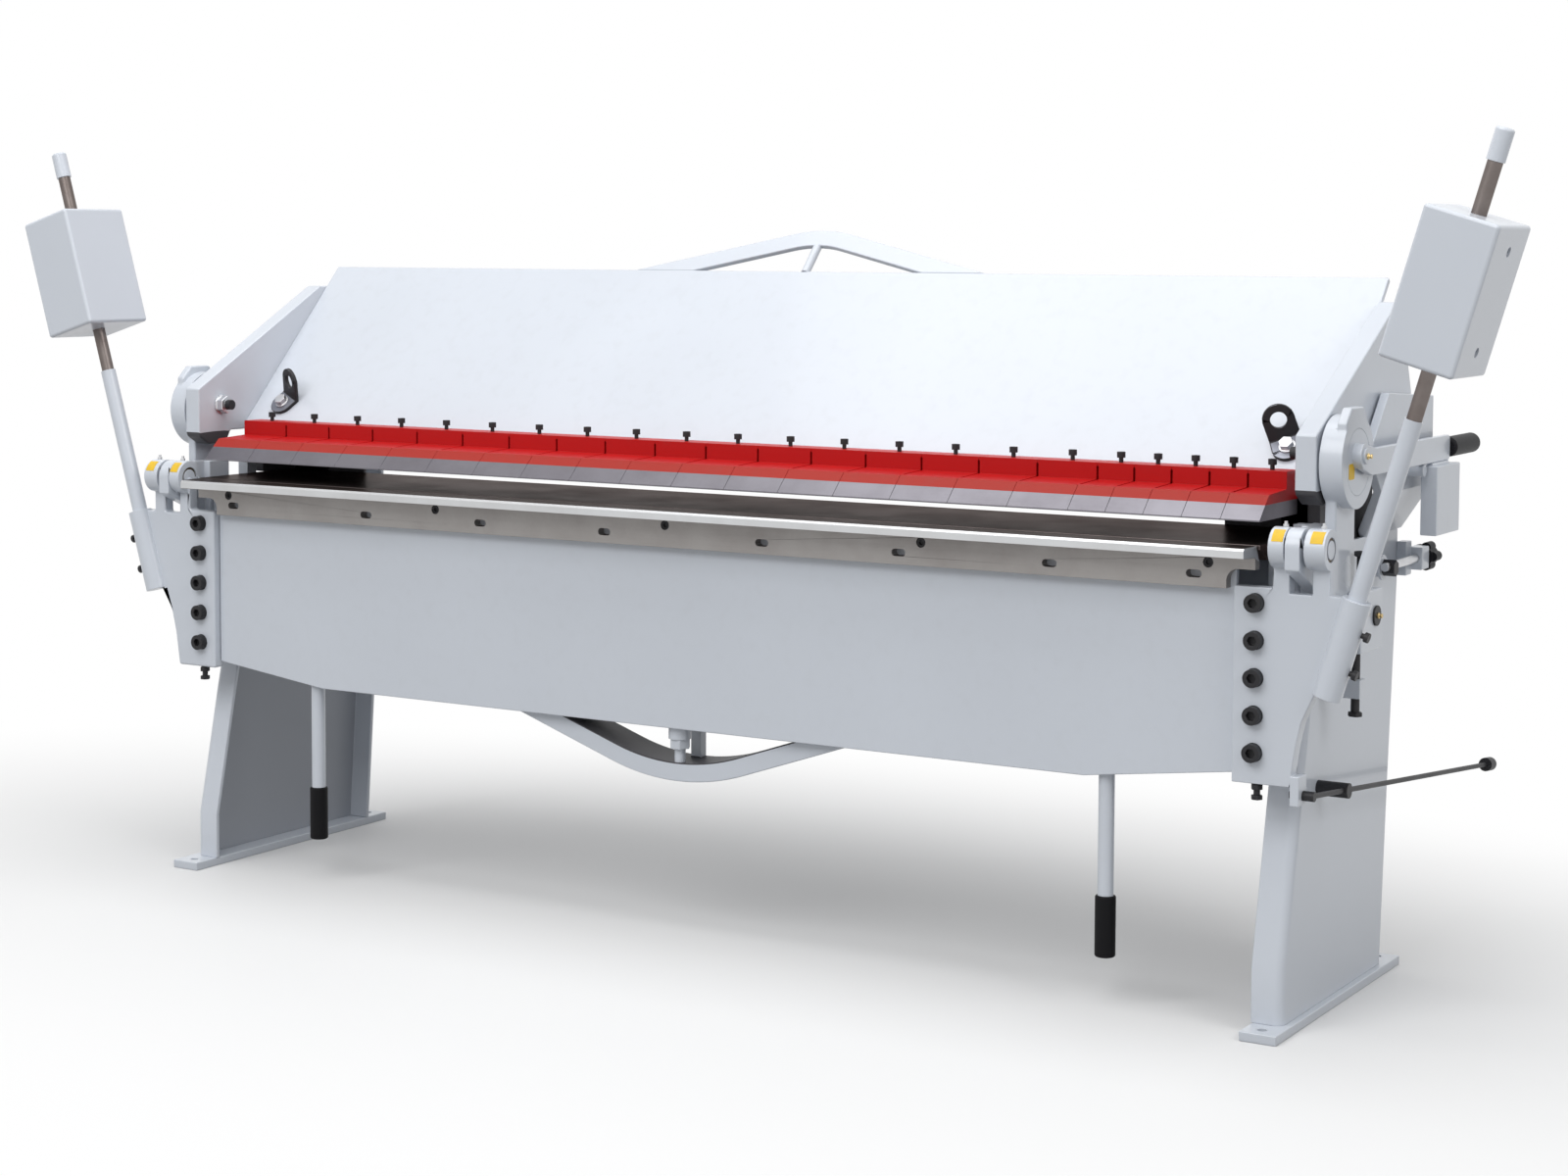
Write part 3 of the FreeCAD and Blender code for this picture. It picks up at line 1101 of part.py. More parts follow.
node(across("clamp_panel", "-panel_half", "panel_half", [
    on_panel("0", "0"), on_panel("panel_h", "0"), on_panel("panel_h", "panel_t"), on_panel("0", "panel_t")]))
rail_foot = on_panel("0", "panel_t")
rail_head = f"{rail_foot[1]} + (rail_rear_y - ({rail_foot[0]})) / tan{LEAN}"
node(across("finger_rail", "-panel_half", "panel_half", [
    ("finger_back_y", "rail_low_z"),
    ("rail_rear_y", "rail_low_z"),
    ("rail_rear_y", rail_head),
    rail_foot,
    ("finger_back_y", rail_foot[1]),
]))
back_rear = "back_y + back_t"
back_head = [f"{rail_foot[1]} + ({y} - ({rail_foot[0]})) / tan{LEAN}" for y in ("back_y", back_rear)]
node(across("rear_plate", "-panel_half", "panel_half", [
    ("rail_rear_y", "back_low_z"),
    (back_rear, "back_low_z"),
    (back_rear, back_head[1]),
    ("back_y", back_head[0]),
    ("back_y", "back_low_z + back_t"),
    ("rail_rear_y", "back_low_z + back_t"),
]))
end_plate = across("end_plate", "panel_half", "panel_half + end_t", [
    ("end_front_y", "end_low_z"),
    ("end_front_y", "end_front_z"),
    ("pivot_y - 8", "end_top_z"),
    ("pivot_y + 30", "end_top_z"),
    ("pivot_y + 64", "end_top_z - 121"),
    ("pivot_y + 84", "end_top_z - 173"),
    ("pivot_y + 40", "end_low_z"),
    ("finger_back_y - 44", "end_low_z"),
    ("finger_back_y - 60", "end_low_z - 28"),
    ("finger_back_y - 115", "end_low_z - 28"),
    ("finger_back_y - 144", "end_low_z - 10"),
])
pocket(end_plate, "YZ_Plane", "panel_half + end_t / 2", "end_t + 2",
       lambda drawing: draw_circle(drawing, ("hub_y", "hub_z"), "hub_r"))
node(both("end_plates", end_plate))

# Legs of the beam: eyes on the rear pivots and the plates that join them to the beam
leg = across("beam_leg", "leg_x", "leg_x + leg_t", [
    ("leg_front_y", "back_low_z"),
    (back_rear, "back_low_z"),
    ("pivot_y + leg_boss_r", "pivot_z"),
    ("pivot_y - leg_boss_r", "pivot_z"),
    ("leg_front_y", "leg_bend_z"),
])
leg_toe = across("beam_leg_toe", "leg_x", "leg_x + leg_t", [
    ("rail_rear_y", "back_low_z"),
    ("leg_front_y", "back_low_z"),
    ("leg_front_y", "leg_bend_z"),
    ("leg_toe_y", "bed_top"),
    ("leg_toe_y", "rail_low_z"),
    ("rail_rear_y", "rail_low_z"),
])
leg_eye = bar("leg_eye", "x", "leg_x", "leg_x + leg_t", ("pivot_y", "pivot_z"), "leg_boss_r")
leg_front = block("leg_front", ("leg_inner_x", "leg_front_y", "pivot_z"),
                  ("leg_x", "leg_front_y + back_t", "back_low_z"))
leg_bore = bar("leg_bore", "x", "leg_x - 1", "leg_x + leg_t + 1", ("pivot_y", "pivot_z"),
               "pivot_r + running_gap")
node(both("beam_legs", group("beam_leg_right", [
    cut("beam_leg_bored", fuse("beam_leg_solid", [leg, leg_eye, leg_front]), [leg_bore]), leg_toe])))

# Upper arch: a bow on the top edge of the panel, with its tensioning bolt
arch_tan = "tan(arch_slope * 1 deg)"
arch_high = f"panel_h + arch_half * {arch_tan}"
arch_under = f"{arch_high} - arch_w / cos(arch_slope * 1 deg)"
arch_inner_half = "arch_half - arch_w / sin(arch_slope * 1 deg)"
arch = slab("upper_arch", "XY_Plane", "-panel_t", "panel_t", [
    ("-arch_half", "panel_h"),
    ("0", arch_high),
    ("arch_half", "panel_h"),
    (arch_inner_half, "panel_h"),
    ("0", arch_under),
    (f"-({arch_inner_half})", "panel_h"),
])


def arch_edge(height):
    # Picks the edge square to the arch at its middle, before the arch is put in place.
    return lambda edge: (along(edge, "z") and abs(edge.BoundBox.XMax) < 0.01
                         and abs(edge.BoundBox.YMax - height) < 0.01)


def lay_on_panel(piece, axis, angle, up, back):
    # Turns a piece about X and puts it at a point of the panel.
    piece.Placement = FreeCAD.Placement(FreeCAD.Vector(), FreeCAD.Rotation(FreeCAD.Vector(axis, 0, 0), 45))
    bind(piece, "Placement.Rotation.Angle", angle)
    place = on_panel(up, back)
    bind(piece, "Placement.Base.y", place[0])
    bind(piece, "Placement.Base.z", place[1])
    return piece


round_edges(arch, "arch_r", arch_edge(number(arch_high)))
round_edges(arch, "arch_r - arch_w", arch_edge(number(arch_under)))
node(lay_on_panel(arch, 1, f"90 deg - {LEAN}", "0", "0"))
arch_reach = f"({arch_under} - (arch_r - arch_w) * (1 / cos(arch_slope * 1 deg) - 1))"
arch_bolt = doc.addObject("Part::Cylinder", "arch_bolt")
bind(arch_bolt, "Radius", "arch_bolt_r")
bind(arch_bolt, "Height", f"{arch_reach} - panel_h - seat_gap")
node(lay_on_panel(arch_bolt, -1, LEAN, "panel_h", "panel_t / 2"))

# Lifting eyes: strips with round ends, bent up off the panel and turned to the middle of
# the machine, drawn lying flat about their bolts and then laid on the slope
def eye_round(label, radius, low, high):
    # A round piece on the lifting eye's own upright axis.
    piece = doc.addObject("Part::Cylinder", label)
    bind(piece, "Radius", radius)
    bind(piece, "Height", f"{high} - ({low})")
    bind(piece, "Placement.Base.z", low)
    return piece


def raise_eye(piece, side, out, off):
    # Stands a piece on the bend of the eye, at a distance out along the raised part.
    raised = FreeCAD.Rotation(FreeCAD.Vector(1, 0, 0), number("eye_fold"))
    piece.Placement = FreeCAD.Placement(FreeCAD.Vector(), raised)
    bind(piece, "Placement.Rotation.Angle", "eye_fold * 1 deg")
    bind(piece, "Placement.Base.x", side)
    bind(piece, "Placement.Base.y", f"eye_foot_l + ({out}) * cos(eye_fold * 1 deg) - ({off}) * sin(eye_fold * 1 deg)")
    bind(piece, "Placement.Base.z", f"({out}) * sin(eye_fold * 1 deg) + ({off}) * cos(eye_fold * 1 deg)")
    return piece


eye_leg = doc.addObject("Part::Box", "eye_leg")
bind(eye_leg, "Length", "2 * eye_r")
bind(eye_leg, "Width", "eye_reach")
bind(eye_leg, "Height", "eye_t")
eye_plate = fuse("eye_plate", [
    eye_round("eye_foot", "eye_r", "0", "eye_t"),
    block("eye_strip", ("-eye_r", "0", "0"), ("eye_r", "eye_foot_l", "eye_t")),
    raise_eye(eye_leg, "-eye_r", "0", "0"),
    raise_eye(eye_round("eye_ring", "eye_r", "0", "eye_t"), "0", "eye_reach", "0")])
eye = cut("lifting_eye", eye_plate, [raise_eye(eye_round("eye_hole", "eye_hole_r", "0", "3 * eye_t"),
                                               "0", "eye_reach", "-eye_t")])
eye.Placement = FreeCAD.Placement(FreeCAD.Vector(), FreeCAD.Rotation(FreeCAD.Vector(0, 0, 1), number("eye_turn")))
bind(eye, "Placement.Rotation.Angle", "eye_turn * 1 deg")
bind(eye, "Placement.Base.x", "eye_x")
node(both("lifting_eyes", lay_on_panel(group("lifting_eye_right", [eye]), 1, f"90 deg - {LEAN}", "eye_up", "0")))
washer_top = "eye_t + eye_washer_t"
eye_bolt_head = doc.addObject("Part::Prism", "eye_bolt_head")
bind(eye_bolt_head, "Circumradius", "eye_bolt_af / (2 * cos(30 deg))")
bind(eye_bolt_head, "Height", "eye_bolt_h")
bind(eye_bolt_head, "Placement.Base.z", washer_top)
eye_bolt = fuse("eye_bolt", [eye_bolt_head, eye_round("eye_washer", "eye_washer_r", "eye_t", washer_top)])
bind(eye_bolt, "Placement.Base.x", "eye_x")
node(both("eye_bolts", lay_on_panel(eye_bolt, 1, f"90 deg - {LEAN}", "eye_up", "0")))

# Fingers: nose pieces of two widths, side by side under the beam, and their cap screws
finger_outline = [
    ("nose_y", "finger_low_z"),
    ("nose_y", "finger_low_z + nose_h"),
    ("steel_y", "steel_z"),
    ("shoulder_y", "shoulder_z"),
    ("upright_y", "upright_low_z"),
    ("upright_y", "upright_top_z"),
    ("finger_back_y", "upright_top_z"),
    ("finger_back_y", "finger_low_z"),
]
wide_count = int(number("wide_n"))
narrow_count = int(round(number("(working_length - wide_n * wide_w) / narrow_w")))
finger_starts = [(f"{i} * wide_w", "wide_w") for i in range(wide_count)]
finger_starts += [(f"wide_n * wide_w + {i} * narrow_w", "narrow_w") for i in range(narrow_count)]
fingers = []
finger_screws = []
for i, (start, width) in enumerate(finger_starts):
    left = f"{start} - working_length / 2"
    centre = (f"{left} + {width} / 2", "finger_screw_y")
    blank = across(f"finger_blank_{i}", f"{left} + finger_gap / 2", f"{left} + {width} - finger_gap / 2",
                   finger_outline)
    tools = [bar(f"finger_hole_{i}", "z", "upright_top_z - 24", "upright_top_z + 1", centre, "finger_screw_r")]
    for side, edge, sign in (("left", left, "+"), ("right", f"{left} + {width}", "-")):
        if (i, side) in ((0, "left"), (len(finger_starts) - 1, "right")):
            continue
        inner = f"{edge} {sign} (finger_gap / 2 + notch_w)"
        faces = (f"{edge} - 1", inner) if sign == "+" else (inner, f"{edge} + 1")
        tools.append(block(f"finger_notch_{i}_{side}", (faces[0], "shoulder_y + 12", "shoulder_z - 4"),
                           (faces[1], "upright_y + 10", "upright_top_z - notch_top")))
    fingers.append(cut(f"finger_{i}", blank, tools))
    head_low = "upright_top_z + finger_screw_up - finger_screw_head_h"
    head = bar(f"finger_screw_head_{i}", "z", head_low, "upright_top_z + finger_screw_up", centre,
               "finger_screw_head_r")
    shank = bar(f"finger_screw_shank_{i}", "z", "upright_top_z - 24", head_low, centre, "finger_screw_r")
    key = hexagon(f"finger_screw_key_{i}", "z", f"{head_low} + 5", "upright_top_z + finger_screw_up + 1",
                  centre, "finger_screw_head_r")
    finger_screws.append(cut(f"finger_screw_{i}", fuse(f"finger_screw_body_{i}", [head, shank]), [key]))
node(group("wide_fingers", fingers[:wide_count]))
node(group("narrow_fingers", fingers[wide_count:]))
node(group("finger_screws", finger_screws))

# Clamping drive: studs in the end plates, levers with an eccentric, connecting rods
hub_at = ("hub_y", "hub_z")
stud_end = "bar_x + bar_t"
hub_stud = fuse("hub_stud", [
    bar("hub_stud_shank", "x", "panel_half", f"{stud_end} + 4", hub_at, "hub_r"),
    hexagon("hub_stud_nut", "x", "panel_half - nut_t", "panel_half - 4", hub_at, "nut_af"),
    bar("hub_stud_washer", "x", "panel_half - 4", "panel_half", hub_at, "nut_af / 2 + 4"),
    bar("hub_stud_thread", "x", "panel_half - nut_t - hub_r", "panel_half - nut_t", hub_at, "0.8 * hub_r")])
node(both("hub_studs", hub_stud))
disc_at = ("hub_y + throw", "hub_z - throw")
disc_end = "disc_x + disc_t"
lever_plate = across("lever_plate", "bar_x", stud_end, [
    ("hub_y - 22", "hub_z + 2"),
    ("hub_y - 10", "bar_top_z + 8"),
    ("hub_y + 10", "bar_top_z + 8"),
    ("hub_y + 60", "bar_top_z"),
    ("bar_rear_y - 6", "bar_top_z"),
    ("bar_rear_y", "bar_top_z - 6"),
    ("bar_rear_y", "bar_bottom_z + 6"),
    ("bar_rear_y - 6", "bar_bottom_z"),
    ("hub_y + 40", "bar_bottom_z"),
    ("hub_y - 10", "hub_z - 22"),
])
lever_pieces = [
    lever_plate,
    bar("eccentric", "x", "disc_x + 2", disc_end, disc_at, "eccentric_r"),
    bar("lever_hub", "x", disc_end, stud_end, hub_at, "1.6 * hub_r"),
]
lever_hole = bar("lever_hole", "x", "disc_x", f"{stud_end} + 1", hub_at, "hub_r + running_gap")
lever_weight = fuse("lever_weight", [
    block("lever_weight_body", ("lever_block_x", "lever_block_front_y", "lever_block_low_z"),
          ("lever_block_x + lever_block_t", "lever_block_rear_y", "bar_bottom_z - 5")),
    block("lever_weight_neck", ("bar_x", "lever_block_front_y + 20", "bar_bottom_z - 6"),
          (stud_end, "lever_block_rear_y - 20", "bar_bottom_z"))])
clamp_lever = node(group("clamp_lever_right", [
    cut("lever_with_eccentric", fuse("clamp_lever_solid", lever_pieces), [lever_hole]), lever_weight]))
node(mirror("clamp_lever_left", clamp_lever))
grip_at = ("bar_x + bar_t / 2", "(bar_top_z + bar_bottom_z) / 2")
lever_grip = rounded("lever_grip_right", bar("lever_grip_solid", "y", "bar_rear_y", "bar_rear_y + clamp_grip_l",
                                             grip_at, "clamp_grip_r"), "6",
                     lambda edge: edge.Curve.TypeId == "Part::GeomCircle")
node(lever_grip)
node(mirror("lever_grip_left", lever_grip))
neck_solid = across("rod_neck", "disc_x", "disc_x + neck_t", [
    ("neck_front_y", "hub_z - throw"),
    ("neck_front_y", "anchor_pin_z + 48"),
    ("anchor_pin_y - 46", "anchor_pin_z - 38"),
    ("anchor_pin_y + 24", "anchor_pin_z - 38"),
    ("anchor_pin_y + 36", "anchor_pin_z"),
    ("anchor_pin_y + 14", "anchor_pin_z + 58"),
    ("neck_rear_y", "anchor_pin_z + 138"),
    ("neck_rear_y", "hub_z - throw"),
])
ear = across("rod_ear", f"{disc_end} - ear_t", disc_end, [
    ("hub_y - 49", "hub_z"),
    ("hub_y - 49", "ear_top_z - 26"),
    ("hub_y - 23", "ear_top_z"),
    ("hub_y + 36", "ear_top_z"),
    ("hub_y + 51", "ear_top_z - 18"),
    ("hub_y + 51", "hub_z"),
])
rod_body = fuse("rod_body", [neck_solid, ear, bar("big_end", "x", "disc_x", disc_end, disc_at, "disc_r")])
pin_way = "(anchor_pin_r + anchor_slack)"
rod_tools = [bar("big_end_bore", "x", "disc_x - 1", f"{disc_end} + 1", disc_at, "eccentric_r + running_gap")]
for end, y in (("rear", "anchor_pin_y"), ("front", "anchor_pin_y - anchor_float")):
    rod_tools.append(bar(f"rod_slot_{end}", "x", "disc_x - 1", "disc_x + neck_t + 1", (y, "anchor_pin_z"), pin_way))
rod_tools.append(block("rod_slot", ("disc_x - 1", "anchor_pin_y - anchor_float", f"anchor_pin_z - {pin_way}"),
                       ("disc_x + neck_t + 1", "anchor_pin_y", f"anchor_pin_z + {pin_way}")))
connecting_rod = node(cut("connecting_rod_right", rod_body, rod_tools))
node(mirror("connecting_rod_left", connecting_rod))

# Check every object, then write one file for each sub-part
doc.recompute()
for thing in doc.Objects:
    if "Invalid" in thing.State or "Error" in thing.State:
        raise RuntimeError(f"{thing.Name} failed: {thing.State}")
os.makedirs("parts", exist_ok=True)
for piece in nodes:
    if piece.Shape.isNull() or not piece.Shape.isValid():
        raise RuntimeError(f"{piece.Label} has no valid shape")
    piece.Shape.exportStep(f"parts/{piece.Label}.step")
print(len(nodes), "sub-parts written")
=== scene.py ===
import math
import bpy
from mathutils import Matrix, Vector


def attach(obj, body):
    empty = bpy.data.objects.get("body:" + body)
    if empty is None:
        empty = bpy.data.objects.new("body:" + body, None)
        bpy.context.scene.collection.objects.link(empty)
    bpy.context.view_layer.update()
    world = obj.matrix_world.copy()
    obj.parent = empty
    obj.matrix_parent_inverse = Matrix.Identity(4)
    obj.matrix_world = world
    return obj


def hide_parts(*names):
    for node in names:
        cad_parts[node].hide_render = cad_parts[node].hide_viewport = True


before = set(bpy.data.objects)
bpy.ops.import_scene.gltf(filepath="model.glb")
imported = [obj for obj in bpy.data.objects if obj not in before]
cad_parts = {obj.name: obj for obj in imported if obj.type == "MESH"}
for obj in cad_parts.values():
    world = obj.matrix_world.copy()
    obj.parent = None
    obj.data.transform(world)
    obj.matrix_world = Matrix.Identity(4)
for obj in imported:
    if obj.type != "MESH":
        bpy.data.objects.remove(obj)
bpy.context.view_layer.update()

# Side frames: ten millimetre plate bent to a channel that is open towards the middle.
# They are gloss painted light grey after bending, so every cut edge is slightly rounded.


def socket(group, side, name, kind, value=None):
    made = group.interface.new_socket(name=name, in_out=side, socket_type=kind)
    if value is not None:
        made.default_value = value
    return made


def paint_surface():
    # Shared effect: the colour and gloss drift and the fine orange peel of sprayed paint.
    group = bpy.data.node_groups.new("paint_surface", "ShaderNodeTree")
    socket(group, "INPUT", "Colour", "NodeSocketColor", (0.7, 0.7, 0.7, 1))
    socket(group, "INPUT", "Edge colour", "NodeSocketColor", (0.5, 0.5, 0.5, 1))
    socket(group, "INPUT", "Wear", "NodeSocketFloat", 0.2)
    socket(group, "INPUT", "Roughness", "NodeSocketFloat", 0.3)
    socket(group, "INPUT", "Peel", "NodeSocketFloat", 0.1)
    socket(group, "OUTPUT", "Colour", "NodeSocketColor")
    socket(group, "OUTPUT", "Roughness", "NodeSocketFloat")
    socket(group, "OUTPUT", "Normal", "NodeSocketVector")
    nodes, links = group.nodes, group.links
    given = nodes.new("NodeGroupInput")
    result = nodes.new("NodeGroupOutput")
    place = nodes.new("ShaderNodeTexCoord")
    broad = nodes.new("ShaderNodeTexNoise")
    broad.inputs["Scale"].default_value = 1.7
    broad.inputs["Detail"].default_value = 5
    links.new(place.outputs["Object"], broad.inputs["Vector"])
    drift = nodes.new("ShaderNodeMapRange")
    drift.inputs["From Min"].default_value = 0.3
    drift.inputs["From Max"].default_value = 0.7
    drift.inputs["To Min"].default_value = 0.965
    drift.inputs["To Max"].default_value = 1.02
    links.new(broad.outputs["Fac"], drift.inputs["Value"])
    toned = nodes.new("ShaderNodeMix")
    toned.data_type = "RGBA"
    toned.blend_type = "MULTIPLY"
    toned.inputs["Factor"].default_value = 1
    links.new(given.outputs["Colour"], toned.inputs["A"])
    links.new(drift.outputs["Result"], toned.inputs["B"])
    shape = nodes.new("ShaderNodeNewGeometry")
    edge = nodes.new("ShaderNodeMapRange")
    edge.inputs["From Min"].default_value = 0.52
    edge.inputs["From Max"].default_value = 0.62
    links.new(shape.outputs["Pointiness"], edge.inputs["Value"])
    chips = nodes.new("ShaderNodeTexNoise")
    chips.inputs["Scale"].default_value = 35
    chips.inputs["Detail"].default_value = 4
    links.new(place.outputs["Object"], chips.inputs["Vector"])
    spots = nodes.new("ShaderNodeMapRange")
    spots.inputs["From Min"].default_value = 0.5
    spots.inputs["From Max"].default_value = 0.75
    links.new(chips.outputs["Fac"], spots.inputs["Value"])
    worn = nodes.new("ShaderNodeMath")
    worn.operation = "MULTIPLY"
    links.new(edge.outputs["Result"], worn.inputs[0])
    links.new(spots.outputs["Result"], worn.inputs[1])
    amount = nodes.new("ShaderNodeMath")
    amount.operation = "MULTIPLY"
    links.new(worn.outputs["Value"], amount.inputs[0])
    links.new(given.outputs["Wear"], amount.inputs[1])
    mixed = nodes.new("ShaderNodeMix")
    mixed.data_type = "RGBA"
    links.new(amount.outputs["Value"], mixed.inputs["Factor"])
    links.new(toned.outputs["Result"], mixed.inputs["A"])
    links.new(given.outputs["Edge colour"], mixed.inputs["B"])
    links.new(mixed.outputs["Result"], result.inputs["Colour"])
    gloss = nodes.new("ShaderNodeMath")
    gloss.operation = "MULTIPLY_ADD"
    links.new(broad.outputs["Fac"], gloss.inputs[0])
    gloss.inputs[1].default_value = 0.12
    links.new(given.outputs["Roughness"], gloss.inputs[2])
    links.new(gloss.outputs["Value"], result.inputs["Roughness"])
    peel = nodes.new("ShaderNodeTexNoise")
    peel.inputs["Scale"].default_value = 260
    peel.inputs["Detail"].default_value = 2
    links.new(place.outputs["Object"], peel.inputs["Vector"])
    bump = nodes.new("ShaderNodeBump")
    bump.inputs["Distance"].default_value = 0.001
    links.new(given.outputs["Peel"], bump.inputs["Strength"])
    links.new(peel.outputs["Fac"], bump.inputs["Height"])
    links.new(bump.outputs["Normal"], result.inputs["Normal"])
    return group


PAINT = paint_surface()


def finish_material(name, group, values, metallic=0.0, coat=0.0, specular=0.5, glance=(1, 1, 1)):
    # A material made of one shader and one effect group with its own values; glance is the
    # tint of what it reflects at a low angle.
    material = bpy.data.materials.new(name)
    material.use_nodes = True
    nodes, links = material.node_tree.nodes, material.node_tree.links
    shader = nodes["Principled BSDF"]
    shader.inputs["Metallic"].default_value = metallic
    shader.inputs["Coat Weight"].default_value = coat
    shader.inputs["Coat Roughness"].default_value = 0.08
    shader.inputs["Specular IOR Level"].default_value = specular
    shader.inputs["Specular Tint"].default_value = (*glance, 1)
    effect = nodes.new("ShaderNodeGroup")
    effect.node_tree = group
    for key, value in values.items():
        effect.inputs[key].default_value = value
    links.new(effect.outputs["Colour"], shader.inputs["Base Color"])
    links.new(effect.outputs["Roughness"], shader.inputs["Roughness"])
    links.new(effect.outputs["Normal"], shader.inputs["Normal"])
    return material


grey_paint = finish_material("grey_paint", PAINT, {
    "Colour": (0.592, 0.628, 0.686, 1), "Edge colour": (0.49, 0.51, 0.54, 1),
    "Wear": 0.35, "Roughness": 0.24, "Peel": 0.035}, coat=0.25)


def only(*pieces):
    # Leaves just these pieces selected, the last one active.
    if bpy.context.object and bpy.context.object.mode != "OBJECT":
        bpy.ops.object.mode_set(mode="OBJECT")
    bpy.ops.object.select_all(action="DESELECT")
    for piece in pieces:
        piece.select_set(True)
        bpy.context.view_layer.objects.active = piece


def finish(piece, body, material, node=None):
    # Gives a piece its material, its body and the CAD node that it stands for.
    piece.data.materials.clear()
    piece.data.materials.append(material)
    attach(piece, body)
    if node:
        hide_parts(node)
    return piece


smooth_angle = math.radians(38)
crease_angle = math.radians(28)
flat_angle = math.radians(1)
merge_distance = 0.00002
least_weight = 0.06


def flat_areas(mesh, sides):
    # For each face, the area of the whole flat surface that it is a part of.
    leader = list(range(len(mesh.polygons)))

    def first(index):
        while leader[index] != index:
            leader[index] = leader[leader[index]]
            index = leader[index]
        return index

    for pair in sides.values():
        if len(pair) == 2 and pair[0].normal.angle(pair[1].normal, 0) < flat_angle:
            leader[first(pair[0].index)] = first(pair[1].index)
    areas = {}
    for face in mesh.polygons:
        areas[first(face.index)] = areas.get(first(face.index), 0) + face.area
    return [areas[first(face.index)] for face in mesh.polygons]


def soften(node, body, material, width, segments=2, cut_height=None):
    # A copy of a CAD solid with its edges broken as on the real piece: long edges of broad
    # faces by the full width, short edges and edges of narrow faces by less.
    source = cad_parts[node]
    piece = source.copy()
    piece.data = source.data.copy()
    piece.name = node + "_finished"
    piece.data.name = piece.name
    bpy.context.collection.objects.link(piece)
    only(piece)
    bpy.ops.object.mode_set(mode="EDIT")
    bpy.ops.mesh.select_all(action="SELECT")
    bpy.ops.mesh.remove_doubles(threshold=merge_distance)
    bpy.ops.mesh.tris_convert_to_quads(
        face_threshold=math.radians(0.4), shape_threshold=math.radians(180))
    if cut_height:
        bpy.ops.mesh.select_all(action="SELECT")
        bpy.ops.mesh.bisect(plane_co=(0, 0, cut_height), plane_no=(0, 0, 1))
    bpy.ops.object.mode_set(mode="OBJECT")
    mesh = piece.data
    weights = mesh.attributes.new("bevel_weight_edge", "FLOAT", "EDGE")
    sides = {}
    for face in mesh.polygons:
        for key in face.edge_keys:
            sides.setdefault(key, []).append(face)
    areas = flat_areas(mesh, sides)
    for edge in mesh.edges:
        pair = sides.get(tuple(sorted(edge.vertices)), [])
        if len(pair) != 2 or pair[0].normal.angle(pair[1].normal, 0) < crease_angle:
            continue
        ends = [mesh.vertices[i].co for i in edge.vertices]
        length = (ends[0] - ends[1]).length
        breadth = min(areas[face.index] for face in pair) / length
        room = min(length / (4 * width), breadth / (2.4 * width))
        weights.data[edge.index].value = min(1.0, max(least_weight, room))
    bevel = piece.modifiers.new("edges", "BEVEL")
    bevel.limit_method = "WEIGHT"
    bevel.width = width
    bevel.segments = segments
    bevel.use_clamp_overlap = False
    bevel.miter_outer = "MITER_ARC"
    bpy.ops.object.modifier_apply(modifier=bevel.name)
    bpy.ops.object.shade_smooth_by_angle(angle=smooth_angle)
    flat = piece.modifiers.new("flat_faces", "WEIGHTED_NORMAL")
    flat.keep_sharp = True
    flat.weight = 90
    bpy.ops.object.modifier_apply(modifier=flat.name)
    return finish(piece, body, material, node)


def finish_where(piece, material, wanted):
    # One more finish, on the faces for which wanted(centre, normal) is true.
    piece.data.materials.append(material)
    index = len(piece.data.materials) - 1
    for face in piece.data.polygons:
        if wanted(face.center, face.normal):
            face.material_index = index


# Painted shade: the inward facing faces of the webs get a darker grey, for the shade inside the
# channels.
painted_shade_inner = finish_material("painted_shade_inner", PAINT, {
    "Colour": (0.37, 0.39, 0.43, 1), "Edge colour": (0.30, 0.31, 0.33, 1),
    "Wear": 0.35, "Roughness": 0.34, "Peel": 0.05})
web_inner_x = 1.289
web_margin = 0.002
for side, sign in (("right", 1), ("left", -1)):
    side_frame = soften(f"side_frame_{side}", "stand", grey_paint, 0.0022)
    finish_where(side_frame, painted_shade_inner, lambda centre, normal:
                 normal.x * sign < -0.9 and centre.x * sign > web_inner_x - web_margin)

# Foot plates: flame cut bars welded under the side frames, with holes for floor bolts.
# They carry the frames' paint.
soften("foot_plates", "stand", grey_paint, 0.002)

# Bed: a welded box beam with the hard, ground bed bar screwed on top.
# The beam is painted, the bar is bare steel that reflects the fingers.
soften("bed_beam", "stand", grey_paint, 0.002)


